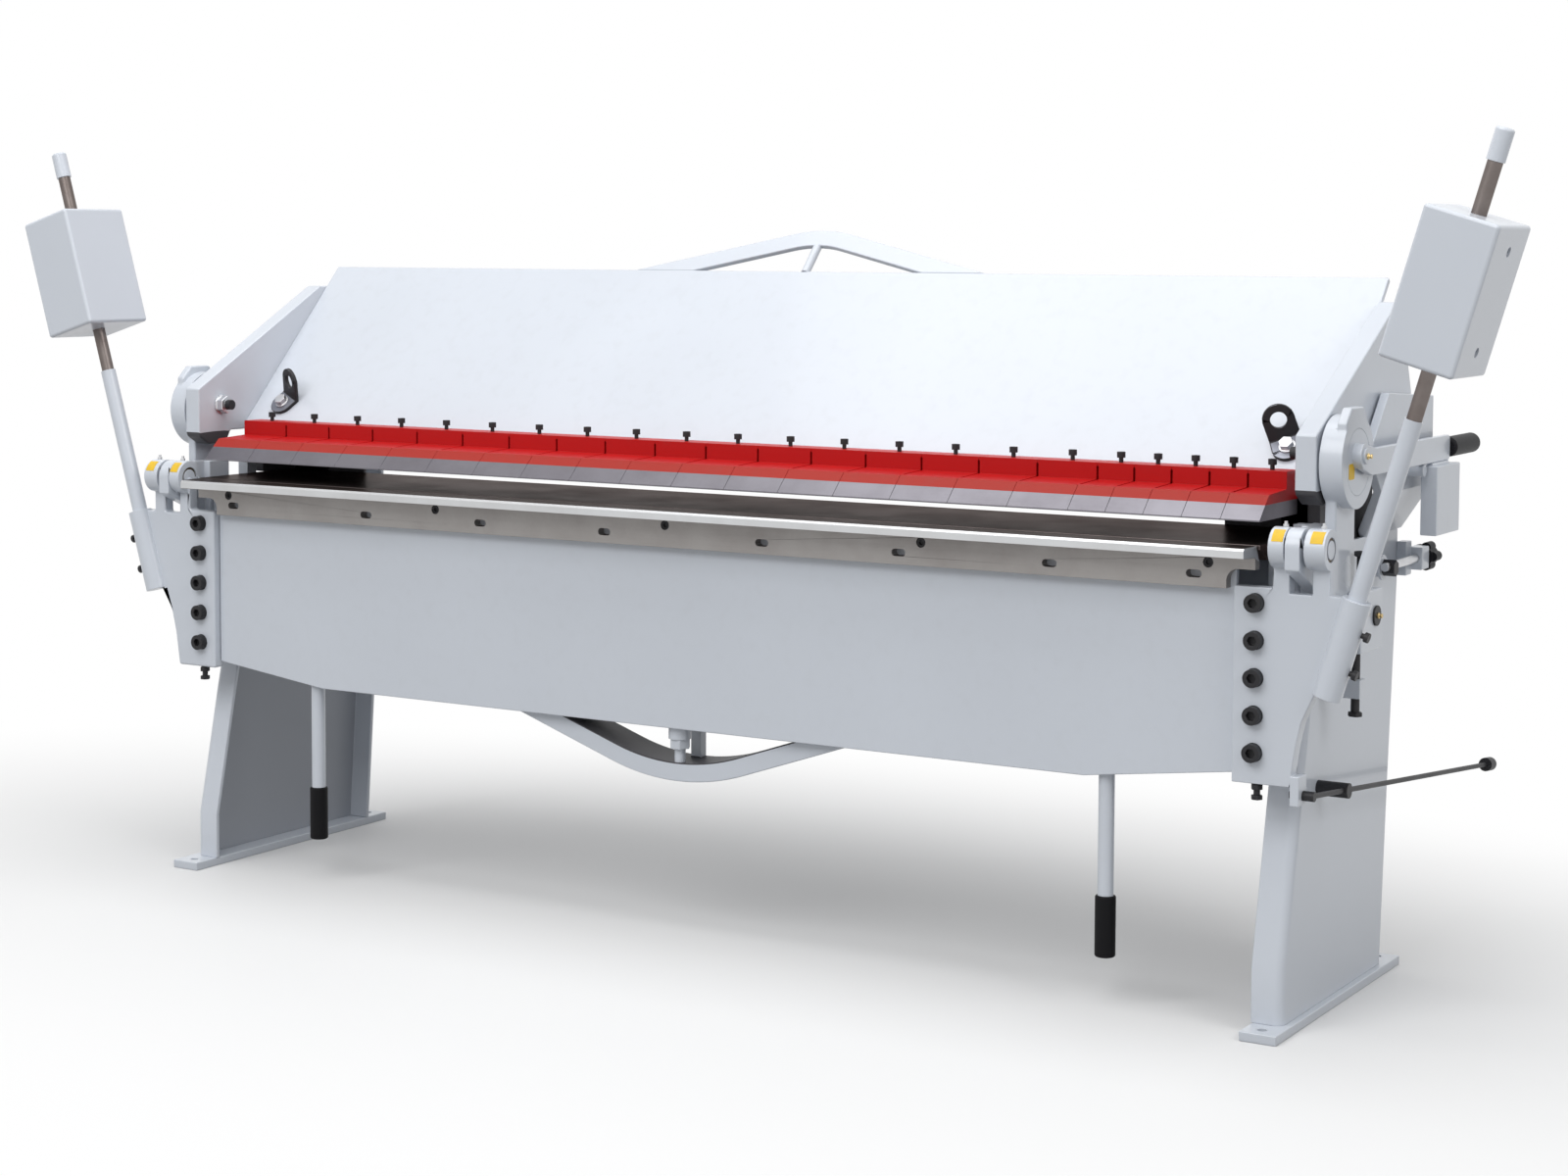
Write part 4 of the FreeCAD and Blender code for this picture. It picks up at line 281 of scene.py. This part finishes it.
def metal_surface():
    # Shared effect: bare metal with grinding marks along X, patches of oil and dull spots.
    group = bpy.data.node_groups.new("metal_surface", "ShaderNodeTree")
    socket(group, "INPUT", "Colour", "NodeSocketColor", (0.5, 0.5, 0.5, 1))
    socket(group, "INPUT", "Stain colour", "NodeSocketColor", (0.3, 0.26, 0.22, 1))
    socket(group, "INPUT", "Stains", "NodeSocketFloat", 0.3)
    socket(group, "INPUT", "Roughness", "NodeSocketFloat", 0.3)
    socket(group, "INPUT", "Grain", "NodeSocketFloat", 0.1)
    socket(group, "INPUT", "Grain scale", "NodeSocketVector", (8, 900, 900))
    socket(group, "OUTPUT", "Colour", "NodeSocketColor")
    socket(group, "OUTPUT", "Roughness", "NodeSocketFloat")
    socket(group, "OUTPUT", "Normal", "NodeSocketVector")
    nodes, links = group.nodes, group.links
    given = nodes.new("NodeGroupInput")
    result = nodes.new("NodeGroupOutput")
    place = nodes.new("ShaderNodeTexCoord")
    patches = nodes.new("ShaderNodeTexNoise")
    patches.inputs["Scale"].default_value = 6
    patches.inputs["Detail"].default_value = 6
    patches.inputs["Roughness"].default_value = 0.62
    links.new(place.outputs["Object"], patches.inputs["Vector"])
    mask = nodes.new("ShaderNodeMapRange")
    mask.inputs["From Min"].default_value = 0.42
    mask.inputs["From Max"].default_value = 0.68
    links.new(patches.outputs["Fac"], mask.inputs["Value"])
    amount = nodes.new("ShaderNodeMath")
    amount.operation = "MULTIPLY"
    links.new(mask.outputs["Result"], amount.inputs[0])
    links.new(given.outputs["Stains"], amount.inputs[1])
    mixed = nodes.new("ShaderNodeMix")
    mixed.data_type = "RGBA"
    links.new(amount.outputs["Value"], mixed.inputs["Factor"])
    links.new(given.outputs["Colour"], mixed.inputs["A"])
    links.new(given.outputs["Stain colour"], mixed.inputs["B"])
    links.new(mixed.outputs["Result"], result.inputs["Colour"])
    stretched = nodes.new("ShaderNodeVectorMath")
    stretched.operation = "MULTIPLY"
    links.new(place.outputs["Object"], stretched.inputs[0])
    links.new(given.outputs["Grain scale"], stretched.inputs[1])
    grain = nodes.new("ShaderNodeTexNoise")
    grain.inputs["Scale"].default_value = 1
    grain.inputs["Detail"].default_value = 3
    links.new(stretched.outputs["Vector"], grain.inputs["Vector"])
    dull = nodes.new("ShaderNodeMath")
    dull.operation = "MULTIPLY_ADD"
    links.new(patches.outputs["Fac"], dull.inputs[0])
    dull.inputs[1].default_value = 0.22
    links.new(given.outputs["Roughness"], dull.inputs[2])
    marks = nodes.new("ShaderNodeMath")
    marks.operation = "MULTIPLY_ADD"
    links.new(grain.outputs["Fac"], marks.inputs[0])
    marks.inputs[1].default_value = 0.12
    links.new(dull.outputs["Value"], marks.inputs[2])
    links.new(marks.outputs["Value"], result.inputs["Roughness"])
    bump = nodes.new("ShaderNodeBump")
    bump.inputs["Distance"].default_value = 0.0006
    links.new(given.outputs["Grain"], bump.inputs["Strength"])
    links.new(grain.outputs["Fac"], bump.inputs["Height"])
    links.new(bump.outputs["Normal"], result.inputs["Normal"])
    return group


METAL = metal_surface()
bed_steel = finish_material("bed_steel", METAL, {
    "Colour": (0.13, 0.108, 0.104, 1), "Stain colour": (0.06, 0.048, 0.046, 1),
    "Stains": 0.7, "Roughness": 0.18, "Grain": 0.1}, metallic=1.0, glance=(0.36, 0.31, 0.30))
soften("bed_bar", "stand", bed_steel, 0.001)
black_steel = finish_material("black_steel", METAL, {
    "Colour": (0.016, 0.016, 0.019, 1), "Stain colour": (0.03, 0.028, 0.027, 1),
    "Stains": 0.4, "Roughness": 0.3, "Grain": 0.05, "Grain scale": (220, 220, 220)}, specular=0.3)
soften("bed_screws", "stand", black_steel, 0.001)
soften("bed_end_blocks", "stand", grey_paint, 0.0015)

# Hinge blocks: castings bolted to the webs, each held between the two barrels of an arm.
# The pins are turned and painted over; the bushes show as thin rings of dark bronze at the
# barrel ends.
bare_steel = finish_material("bare_steel", METAL, {
    "Colour": (0.20, 0.175, 0.165, 1), "Stain colour": (0.09, 0.066, 0.058, 1),
    "Stains": 0.65, "Roughness": 0.2, "Grain": 0.1, "Grain scale": (500, 500, 25)},
    metallic=1.0, glance=(0.7, 0.66, 0.65))
bronze = finish_material("bronze", METAL, {
    "Colour": (0.16, 0.115, 0.07, 1), "Stain colour": (0.07, 0.05, 0.035, 1),
    "Stains": 0.5, "Roughness": 0.3, "Grain": 0.05}, metallic=0.8)
soften("hinge_blocks", "stand", grey_paint, 0.003, 3)
soften("hinge_pins", "stand", grey_paint, 0.0015)
zinc_steel = finish_material("zinc_steel", METAL, {
    "Colour": (0.66, 0.67, 0.69, 1), "Stain colour": (0.42, 0.41, 0.40, 1),
    "Stains": 0.4, "Roughness": 0.22, "Grain": 0.05, "Grain scale": (300, 300, 300)}, metallic=1.0)
soften("hinge_bushes", "apron", bronze, 0.0008)

# Guide cheeks and the stop pins of the clamp levers, on the outside of the webs. Plate and
# round bar, welded on and painted with the frames.
soften("guide_cheeks", "stand", grey_paint, 0.002)
soften("lever_stop_pins", "stand", grey_paint, 0.0015)

# Rod anchors: painted forks with pins for the connecting rods, and their adjusting screws.
# The pins are bare with a blackened head; of the screws only the brackets are painted.
soften("rod_anchors", "stand", grey_paint, 0.003, 3)
anchor_pins = soften("anchor_pins", "stand", bare_steel, 0.001)
pin_head_x = 1.3915
finish_where(anchor_pins, black_steel, lambda centre, normal: abs(centre.x) > pin_head_x)
clamp_adjusters = soften("clamp_adjusters", "stand", black_steel, 0.0015)
bracket_low, bracket_high = 0.5925, 0.6275
finish_where(clamp_adjusters, grey_paint, lambda centre, normal: bracket_low < centre.z < bracket_high)

# Setback: pivots in the webs, screws with lobed knobs behind them. Blackened steel with a
# painted ring, and knobs of moulded plastic with a zinc plated boss.
black_plastic = finish_material("black_plastic", PAINT, {
    "Colour": (0.006, 0.006, 0.008, 1), "Edge colour": (0.03, 0.03, 0.03, 1),
    "Wear": 0.3, "Roughness": 0.42, "Peel": 0.12}, specular=0.15)
beam_pivots = soften("beam_pivots", "beam_carriage", black_steel, 0.0015)
ring_face_x = 1.3205
finish_where(beam_pivots, grey_paint, lambda centre, normal: abs(centre.x) < ring_face_x)
soften("setback_brackets", "stand", grey_paint, 0.002)
knob_face_y = 0.3702
for side in ("right", "left"):
    knob = soften(f"setback_knob_{side}", f"setback_knob_{side}", black_plastic, 0.003, 3)
    finish_where(knob, zinc_steel, lambda centre, normal: centre.y < knob_face_y)
soften("stop_stud", "stand", black_steel, 0.0015)

# Apron: the swinging front, a flat plate on a welded box. Both are painted like the
# frames, with narrow edges.
soften("apron_plate", "apron", grey_paint, 0.002)
soften("apron_frame", "apron", grey_paint, 0.002)

# Folding bar: ground steel edge on top of the apron, with sunk screws and slots. It is
# bright on the lip's front, duller below it and oiled on top.
folding_steel = finish_material("folding_steel", METAL, {
    "Colour": (0.60, 0.61, 0.62, 1), "Stain colour": (0.42, 0.41, 0.40, 1),
    "Stains": 0.35, "Roughness": 0.2, "Grain": 0.2}, metallic=0.9)
dull_steel = finish_material("dull_steel", METAL, {
    "Colour": (0.33, 0.315, 0.305, 1), "Stain colour": (0.25, 0.23, 0.22, 1),
    "Stains": 0.5, "Roughness": 0.36, "Grain": 0.25}, metallic=0.75)
oiled_steel = finish_material("oiled_steel", METAL, {
    "Colour": (0.15, 0.125, 0.118, 1), "Stain colour": (0.09, 0.07, 0.065, 1),
    "Stains": 0.7, "Roughness": 0.15, "Grain": 0.15}, metallic=1.0, glance=(0.42, 0.37, 0.36))
lip_foot = 0.8635
folding_bar = soften("folding_bar", "apron", folding_steel, 0.0008)
finish_where(folding_bar, dull_steel, lambda centre, normal: centre.z < lip_foot or normal.z < -0.6)
finish_where(folding_bar, oiled_steel, lambda centre, normal: normal.z > 0.95)
soften("folding_bar_screws", "apron", black_steel, 0.001)

# Arms: painted castings at the apron's ends with barrels above and a leaning lever socket,
# held by black cap screws.
soften("arm_right", "apron", grey_paint, 0.002)
soften("arm_left", "apron", grey_paint, 0.005, 3)
soften("arm_screws", "apron", black_steel, 0.0012)
soften("grease_nipples", "apron", zinc_steel, 0.0008)
soften("levelling_screws", "apron", black_steel, 0.001)
soften("socket_screws", "apron", black_steel, 0.001)

# Patches of plain yellow film on the barrels, beside the grease points. Each is a thin
# curved sheet stuck to the casting.
yellow_film = finish_material("yellow_film", PAINT, {
    "Colour": (0.78, 0.50, 0.03, 1), "Edge colour": (0.5, 0.36, 0.08, 1),
    "Wear": 0.5, "Roughness": 0.4, "Peel": 0.02}, specular=0.3)
axle_y, axle_z, barrel_r = -0.296, 0.881, 0.0366
film_thickness = 0.0005
patch_low, patch_high = 22, 62
patch_spans = (("inner", 1.290, 1.311), ("outer", 1.361, 1.384))


def pick_faces(piece, wanted):
    # Selects, in edit mode, just the faces for which wanted(centre, normal) is true.
    only(piece)
    bpy.ops.object.mode_set(mode="EDIT")
    bpy.ops.mesh.select_mode(type="FACE")
    bpy.ops.mesh.select_all(action="DESELECT")
    bpy.ops.object.mode_set(mode="OBJECT")
    for face in piece.data.polygons:
        face.select = wanted(face.center, face.normal)
    bpy.ops.object.mode_set(mode="EDIT")


def film(piece):
    # Gives a cut sheet its thickness, outwards.
    thick = piece.modifiers.new("film", "SOLIDIFY")
    thick.thickness = film_thickness
    thick.offset = 1
    bpy.ops.object.modifier_apply(modifier=thick.name)


def barrel_patch(name, start, end, low, high):
    # One patch between two X places, and between two angles above the barrel's front.
    only()
    bpy.ops.mesh.primitive_cylinder_add(
        vertices=120, radius=barrel_r, depth=end - start, end_fill_type="NOTHING",
        location=((start + end) / 2, axle_y, axle_z), rotation=(0, math.radians(90), 0))
    patch = bpy.context.object
    patch.name = name
    bpy.ops.object.transform_apply(location=True, rotation=True, scale=True)
    pick_faces(patch, lambda centre, normal: not low < math.degrees(math.atan2(
        centre.z - axle_z, axle_y - centre.y)) < high)
    bpy.ops.mesh.delete(type="FACE")
    bpy.ops.object.mode_set(mode="OBJECT")
    film(patch)
    finish(patch, "apron", yellow_film)


for side, sign in (("right", 1), ("left", -1)):
    for which, near, far in patch_spans:
        ends = sorted((sign * near, sign * far))
        barrel_patch(f"grease_patch_{which}_{side}", *ends, patch_low, patch_high)

# Levers and counterweights: painted tubes that hold dull steel rods, and painted boxes that
# slide on the rods.
soften("lever_tubes", "apron", grey_paint, 0.002)
soften("lever_rods", "apron", bare_steel, 0.001)
soften("lever_caps", "apron", grey_paint, 0.001)
for side in ("right", "left"):
    soften(f"counterweight_{side}", f"counterweight_{side}", grey_paint, 0.0015)

# Pull handles: painted round bars below the apron, with black rubber grips pushed on.
black_rubber = finish_material("black_rubber", PAINT, {
    "Colour": (0.006, 0.006, 0.007, 1), "Edge colour": (0.03, 0.03, 0.03, 1),
    "Wear": 0.2, "Roughness": 0.5, "Peel": 0.2}, specular=0.12)
soften("pull_handles", "apron", grey_paint, 0.001)
soften("pull_grips", "apron", black_rubber, 0.0015)

# Lower truss: a painted bow under the apron, pressed down by a screw in its middle. Its inner
# faces get painted shade, from the near black shade paint made with the clamping beam.
truss = soften("lower_truss", "apron", grey_paint, 0.0025)
soften("truss_screw", "apron", grey_paint, 0.001)

# Stop rod on the right, from the arm past the stud of the stand, and the collar that
# slides on it. Blackened steel, turned and threaded.
soften("stop_rod", "stop_rod", black_steel, 0.0015)
soften("stop_collar", "stop_collar", black_steel, 0.0015)

# Clamping beam: leaning panel, rail, rear plate, end plates and legs, all one weldment.
# Painted light grey; the legs and the undersides of the end plates get painted shade, a near black
# paint for the shade under the beam.
soften("clamp_panel", "clamp_beam", grey_paint, 0.002)
soften("finger_rail", "clamp_beam", grey_paint, 0.0015)
soften("rear_plate", "clamp_beam", grey_paint, 0.0015)
# Painted shade: a near black paint for the legs and for the end plates below their foot.
dark_paint = finish_material("dark_paint", PAINT, {
    "Colour": (0.062, 0.06, 0.066, 1), "Edge colour": (0.16, 0.16, 0.17, 1),
    "Wear": 0.3, "Roughness": 0.45, "Peel": 0.1}, specular=0.3)
end_plate_foot = 0.978
end_plates = soften("end_plates", "clamp_beam", grey_paint, 0.0035, 3, end_plate_foot)
finish_where(end_plates, dark_paint, lambda centre, normal: centre.z < end_plate_foot)
soften("beam_legs", "clamp_beam", dark_paint, 0.002)
# Painted shade on the truss's upward faces and on its low rear faces, under the apron.
bow_top_z = 0.55
finish_where(truss, dark_paint, lambda centre, normal:
             normal.z > 0.3 or (normal.y > 0.7 and centre.z < bow_top_z))

# Upper arch, lifting eyes and hub studs, all on the clamping beam. The arch is painted bar;
# the eyes are blackened strips held by zinc plated bolts, with a painted highlight of lighter blue grey
# steel on each foot's upward face.
soften("upper_arch", "clamp_beam", grey_paint, 0.0025)
soften("arch_bolt", "clamp_beam", grey_paint, 0.001)
lifting_eyes = soften("lifting_eyes", "clamp_beam", black_steel, 0.002)
painted_light_foot_steel = finish_material("painted_light_foot_steel", METAL, {
    "Colour": (0.26, 0.27, 0.31, 1), "Stain colour": (0.13, 0.135, 0.16, 1),
    "Stains": 0.6, "Roughness": 0.25, "Grain": 0.05, "Grain scale": (200, 200, 200)}, metallic=0.8)
# Painted light: the foot faces that lie along the panel and face up take a lighter blue grey steel.
panel_normal = Vector((0, -0.731, 0.682))
finish_where(lifting_eyes, painted_light_foot_steel, lambda centre, normal: normal.dot(panel_normal) > 0.97)
soften("eye_bolts", "clamp_beam", zinc_steel, 0.001)
hub_studs = soften("hub_studs", "clamp_beam", zinc_steel, 0.0015)
thread_end_x, end_plate_x = 1.2795, 1.301
finish_where(hub_studs, black_steel, lambda centre, normal: abs(centre.x) < thread_end_x)
finish_where(hub_studs, grey_paint, lambda centre, normal: abs(centre.x) > end_plate_x)

# Fingers: separate steel blocks, painted red with a bare, ground nose, each held to the
# rail by a black screw. Their upward sloping faces get a more orange red: painted light from above.
red_paint = finish_material("red_paint", PAINT, {
    "Colour": (0.45, 0.008, 0.009, 1), "Edge colour": (0.30, 0.03, 0.03, 1),
    "Wear": 0.4, "Roughness": 0.34, "Peel": 0.03}, specular=0.15)
# Painted light: the faces that slope up to the front take this more orange copy of the red.
painted_light_slope_red = finish_material("painted_light_slope_red", PAINT, {
    "Colour": (0.36, 0.030, 0.022, 1), "Edge colour": (0.26, 0.05, 0.04, 1),
    "Wear": 0.4, "Roughness": 0.4, "Peel": 0.03}, specular=0.15)
nose_steel = finish_material("nose_steel", METAL, {
    "Colour": (0.20, 0.193, 0.215, 1), "Stain colour": (0.13, 0.12, 0.135, 1),
    "Stains": 0.5, "Roughness": 0.22, "Grain": 0.12, "Grain scale": (6, 500, 500)},
    metallic=0.9, glance=(0.7, 0.68, 0.7))
paint_edge = 0.949
for node in ("wide_fingers", "narrow_fingers"):
    fingers = soften(node, "clamp_beam", red_paint, 0.0003, 1, paint_edge)
    finish_where(fingers, painted_light_slope_red, lambda centre, normal: 0.3 < normal.z < 0.95 and normal.y < -0.2)
    finish_where(fingers, nose_steel, lambda centre, normal: centre.z < paint_edge)
soften("finger_screws", "clamp_beam", black_steel, 0.0008)

# Clamping drive: painted levers with eccentrics, cast connecting rods round them, and
# plastic grips pushed on the levers.
for side in ("right", "left"):
    soften(f"clamp_lever_{side}", f"clamp_lever_{side}", grey_paint, 0.002)
    soften(f"lever_grip_{side}", f"clamp_lever_{side}", black_plastic, 0.002)
    soften(f"connecting_rod_{side}", f"connecting_rod_{side}", grey_paint, 0.004, 3)

# Grease nipples of brass at the hubs and at the lower pins of the connecting rods. Each is
# turned from one bar and screwed into the end of the pin.
brass = finish_material("brass", METAL, {
    "Colour": (0.72, 0.56, 0.28, 1), "Stain colour": (0.35, 0.26, 0.12, 1),
    "Stains": 0.4, "Roughness": 0.22, "Grain": 0.05, "Grain scale": (400, 400, 400)}, metallic=1.0)


def turned(name, steps, place, turn):
    # A turned piece of one step after another, each with its length and radius.
    only()
    length, radius = steps[0]
    bpy.ops.mesh.primitive_cylinder_add(
        vertices=nipple_sides, radius=radius, depth=length, location=(0, 0, length / 2))
    piece = bpy.context.object
    piece.name = name
    bpy.ops.object.transform_apply(location=True, rotation=True, scale=True)
    top = length
    for length, next_radius in steps[1:]:
        pick_faces(piece, lambda centre, normal: normal.z > 0.9 and centre.z > top - 0.00001)
        bpy.ops.mesh.extrude_region_move(TRANSFORM_OT_translate={"value": (0, 0, 0)})
        ratio = next_radius / radius
        bpy.ops.transform.resize(value=(ratio, ratio, 1), center_override=(0, 0, top))
        bpy.ops.mesh.extrude_region_move(TRANSFORM_OT_translate={"value": (0, 0, length)})
        bpy.ops.object.mode_set(mode="OBJECT")
        top += length
        radius = next_radius
    edges = piece.modifiers.new("edges", "BEVEL")
    edges.width = 0.0005
    edges.segments = 2
    edges.limit_method = "ANGLE"
    only(piece)
    bpy.ops.object.modifier_apply(modifier=edges.name)
    bpy.ops.object.shade_smooth_by_angle(angle=smooth_angle)
    piece.rotation_euler = turn
    piece.location = place
    bpy.ops.object.transform_apply(location=True, rotation=True, scale=True)
    return piece


nipple_steps = ((0.003, 0.0055), (0.003, 0.0032), (0.0025, 0.0042))
nipple_sides = 12
hub_end_x, hub_y, hub_z = 1.408, -0.176, 1.038
pin_end_x, pin_y, pin_z = 1.3965, -0.074, 0.742
for side, sign in (("right", 1), ("left", -1)):
    outwards = (0, sign * math.radians(90), 0)
    hub_nipple = turned(f"hub_nipple_{side}", nipple_steps, (sign * hub_end_x, hub_y, hub_z), outwards)
    finish(hub_nipple, "clamp_beam", brass)
    pin_nipple = turned(f"pin_nipple_{side}", nipple_steps, (sign * pin_end_x, pin_y, pin_z), outwards)
    finish(pin_nipple, "stand", brass)

# The plain yellow film on the face of each clamp lever's eccentric, below the hub. It is a
# square with rounded corners, stuck on.
patch_place = (1.3871, -0.199, 1.011)
patch_size, corner_cut = 0.028, 0.004
for side, sign in (("right", 1), ("left", -1)):
    only()
    bpy.ops.mesh.primitive_plane_add(
        size=patch_size, location=(sign * patch_place[0], *patch_place[1:]),
        rotation=(0, sign * math.radians(90), 0))
    patch = bpy.context.object
    patch.name = f"grease_patch_hub_{side}"
    bpy.ops.object.transform_apply(location=True, rotation=True, scale=True)
    pick_faces(patch, lambda centre, normal: True)
    bpy.ops.mesh.bevel(offset=corner_cut, segments=3, affect="VERTICES")
    bpy.ops.object.mode_set(mode="OBJECT")
    film(patch)
    finish(patch, f"clamp_lever_{side}", yellow_film)

# Stage: pale floor that fades to white surroundings. Only what the camera and the gloss see
# is that pale; the light that the floor throws back at the machine is that of a workshop.
only()
bpy.ops.mesh.primitive_plane_add(size=60, location=(0, 0, 0))
floor = bpy.context.object
floor.name = "floor"
floor_material = bpy.data.materials.new("floor_white")
floor_material.use_nodes = True
nodes, links = floor_material.node_tree.nodes, floor_material.node_tree.links
floor_shader = nodes["Principled BSDF"]
floor_shader.inputs["Roughness"].default_value = 0.6
floor_shader.inputs["Specular IOR Level"].default_value = 0.1
rays = nodes.new("ShaderNodeLightPath")
shown = nodes.new("ShaderNodeMath")
shown.operation = "MAXIMUM"
links.new(rays.outputs["Is Camera Ray"], shown.inputs[0])
links.new(rays.outputs["Is Glossy Ray"], shown.inputs[1])
tone = nodes.new("ShaderNodeMix")
tone.data_type = "RGBA"
tone.inputs["A"].default_value = (0.34, 0.34, 0.34, 1)
tone.inputs["B"].default_value = (0.80, 0.80, 0.80, 1)
links.new(shown.outputs["Value"], tone.inputs["Factor"])
links.new(tone.outputs["Result"], floor_shader.inputs["Base Color"])
glow = nodes.new("ShaderNodeEmission")
glow.inputs["Strength"].default_value = 1.0
place = nodes.new("ShaderNodeTexCoord")
squeezed = nodes.new("ShaderNodeMapping")
squeezed.inputs["Location"].default_value = (-0.02, 0.1, 0)
squeezed.inputs["Scale"].default_value = (0.36, 0.62, 1)
links.new(place.outputs["Object"], squeezed.inputs["Vector"])
away = nodes.new("ShaderNodeVectorMath")
away.operation = "LENGTH"
links.new(squeezed.outputs["Vector"], away.inputs[0])
fade = nodes.new("ShaderNodeMapRange")
fade.interpolation_type = "SMOOTHSTEP"
fade.inputs["From Min"].default_value = 0.45
fade.inputs["From Max"].default_value = 1.25
links.new(away.outputs["Value"], fade.inputs["Value"])
fade_shown = nodes.new("ShaderNodeMath")
fade_shown.operation = "MULTIPLY"
links.new(fade.outputs["Result"], fade_shown.inputs[0])
links.new(shown.outputs["Value"], fade_shown.inputs[1])
mix = nodes.new("ShaderNodeMixShader")
links.new(fade_shown.outputs["Value"], mix.inputs["Fac"])
links.new(floor_shader.outputs["BSDF"], mix.inputs[1])
links.new(glow.outputs["Emission"], mix.inputs[2])
links.new(mix.outputs["Shader"], nodes["Material Output"].inputs["Surface"])
floor.data.materials.append(floor_material)

# World: plain white for the camera and for gloss, and a weaker pale light for the machine.
world = bpy.data.worlds.new("studio")
bpy.context.scene.world = world
world.use_nodes = True
nodes, links = world.node_tree.nodes, world.node_tree.links
ambient = nodes["Background"]
ambient.inputs["Color"].default_value = (0.985, 0.993, 1.0, 1)
ambient.inputs["Strength"].default_value = 0.47
seen = nodes.new("ShaderNodeBackground")
seen.inputs["Color"].default_value = (1, 1, 1, 1)
seen.inputs["Strength"].default_value = 1.0
rays = nodes.new("ShaderNodeLightPath")
either = nodes.new("ShaderNodeMath")
either.operation = "MAXIMUM"
links.new(rays.outputs["Is Camera Ray"], either.inputs[0])
links.new(rays.outputs["Is Glossy Ray"], either.inputs[1])
mix = nodes.new("ShaderNodeMixShader")
links.new(either.outputs["Value"], mix.inputs["Fac"])
links.new(ambient.outputs["Background"], mix.inputs[1])
links.new(seen.outputs["Background"], mix.inputs[2])
links.new(mix.outputs["Shader"], nodes["World Output"].inputs["Surface"])


def lamp(name, place, target, width, height, power):
    # A square cornered area lamp at a place, turned towards its target.
    data = bpy.data.lights.new(name, "AREA")
    data.shape = "RECTANGLE"
    data.size = width
    data.size_y = height
    data.energy = power
    light = bpy.data.objects.new(name, data)
    bpy.context.collection.objects.link(light)
    light.location = place
    light.rotation_euler = (Vector(target) - Vector(place)).to_track_quat("-Z", "Y").to_euler()


# Light: three broad lamps, from above, from the front and from the right.
lamp("top_light", (0, -0.4, 5.4), (0, 0.1, 0.6), 5.0, 3.6, 115)
lamp("front_light", (-0.4, -5.8, 5.8), (-0.2, 0, 0.9), 6.0, 4.2, 300)
lamp("side_light", (6.4, -1.6, 4.6), (0, 0, 0.8), 3.2, 2.6, 90)

# Camera at the photograph's place, with a lens shift for its framing and a slight roll.
PHOTO_WIDTH = 1600
PHOTO_HEIGHT = 1200
principal_x, principal_y = 803.15, 428.79
focal_px = 2820.33
lens_data = bpy.data.cameras.new("camera")
camera = bpy.data.objects.new("camera", lens_data)
bpy.context.collection.objects.link(camera)
sensor_mm = 36
lens_data.sensor_width = sensor_mm
lens_data.lens = sensor_mm * focal_px / PHOTO_WIDTH
lens_data.shift_x = (PHOTO_WIDTH / 2 - principal_x) / PHOTO_WIDTH
lens_data.shift_y = (principal_y - PHOTO_HEIGHT / 2) / PHOTO_WIDTH
lens_data.clip_end = 200
forward = Vector((-0.51819, 0.85282, -0.0646)).normalized()
level_right = forward.cross(Vector((0, 0, 1))).normalized()
level_up = level_right.cross(forward)
roll = math.radians(0.224)
right = level_right * math.cos(roll) + level_up * math.sin(roll)
up = right.cross(forward)
turn = Matrix((right, up, -forward)).transposed()
camera_place = (3.0598, -4.8709, 1.4132)
camera.matrix_world = Matrix.Translation(camera_place) @ turn.to_4x4()
bpy.context.scene.camera = camera
bpy.context.scene.view_settings.view_transform = "Standard"
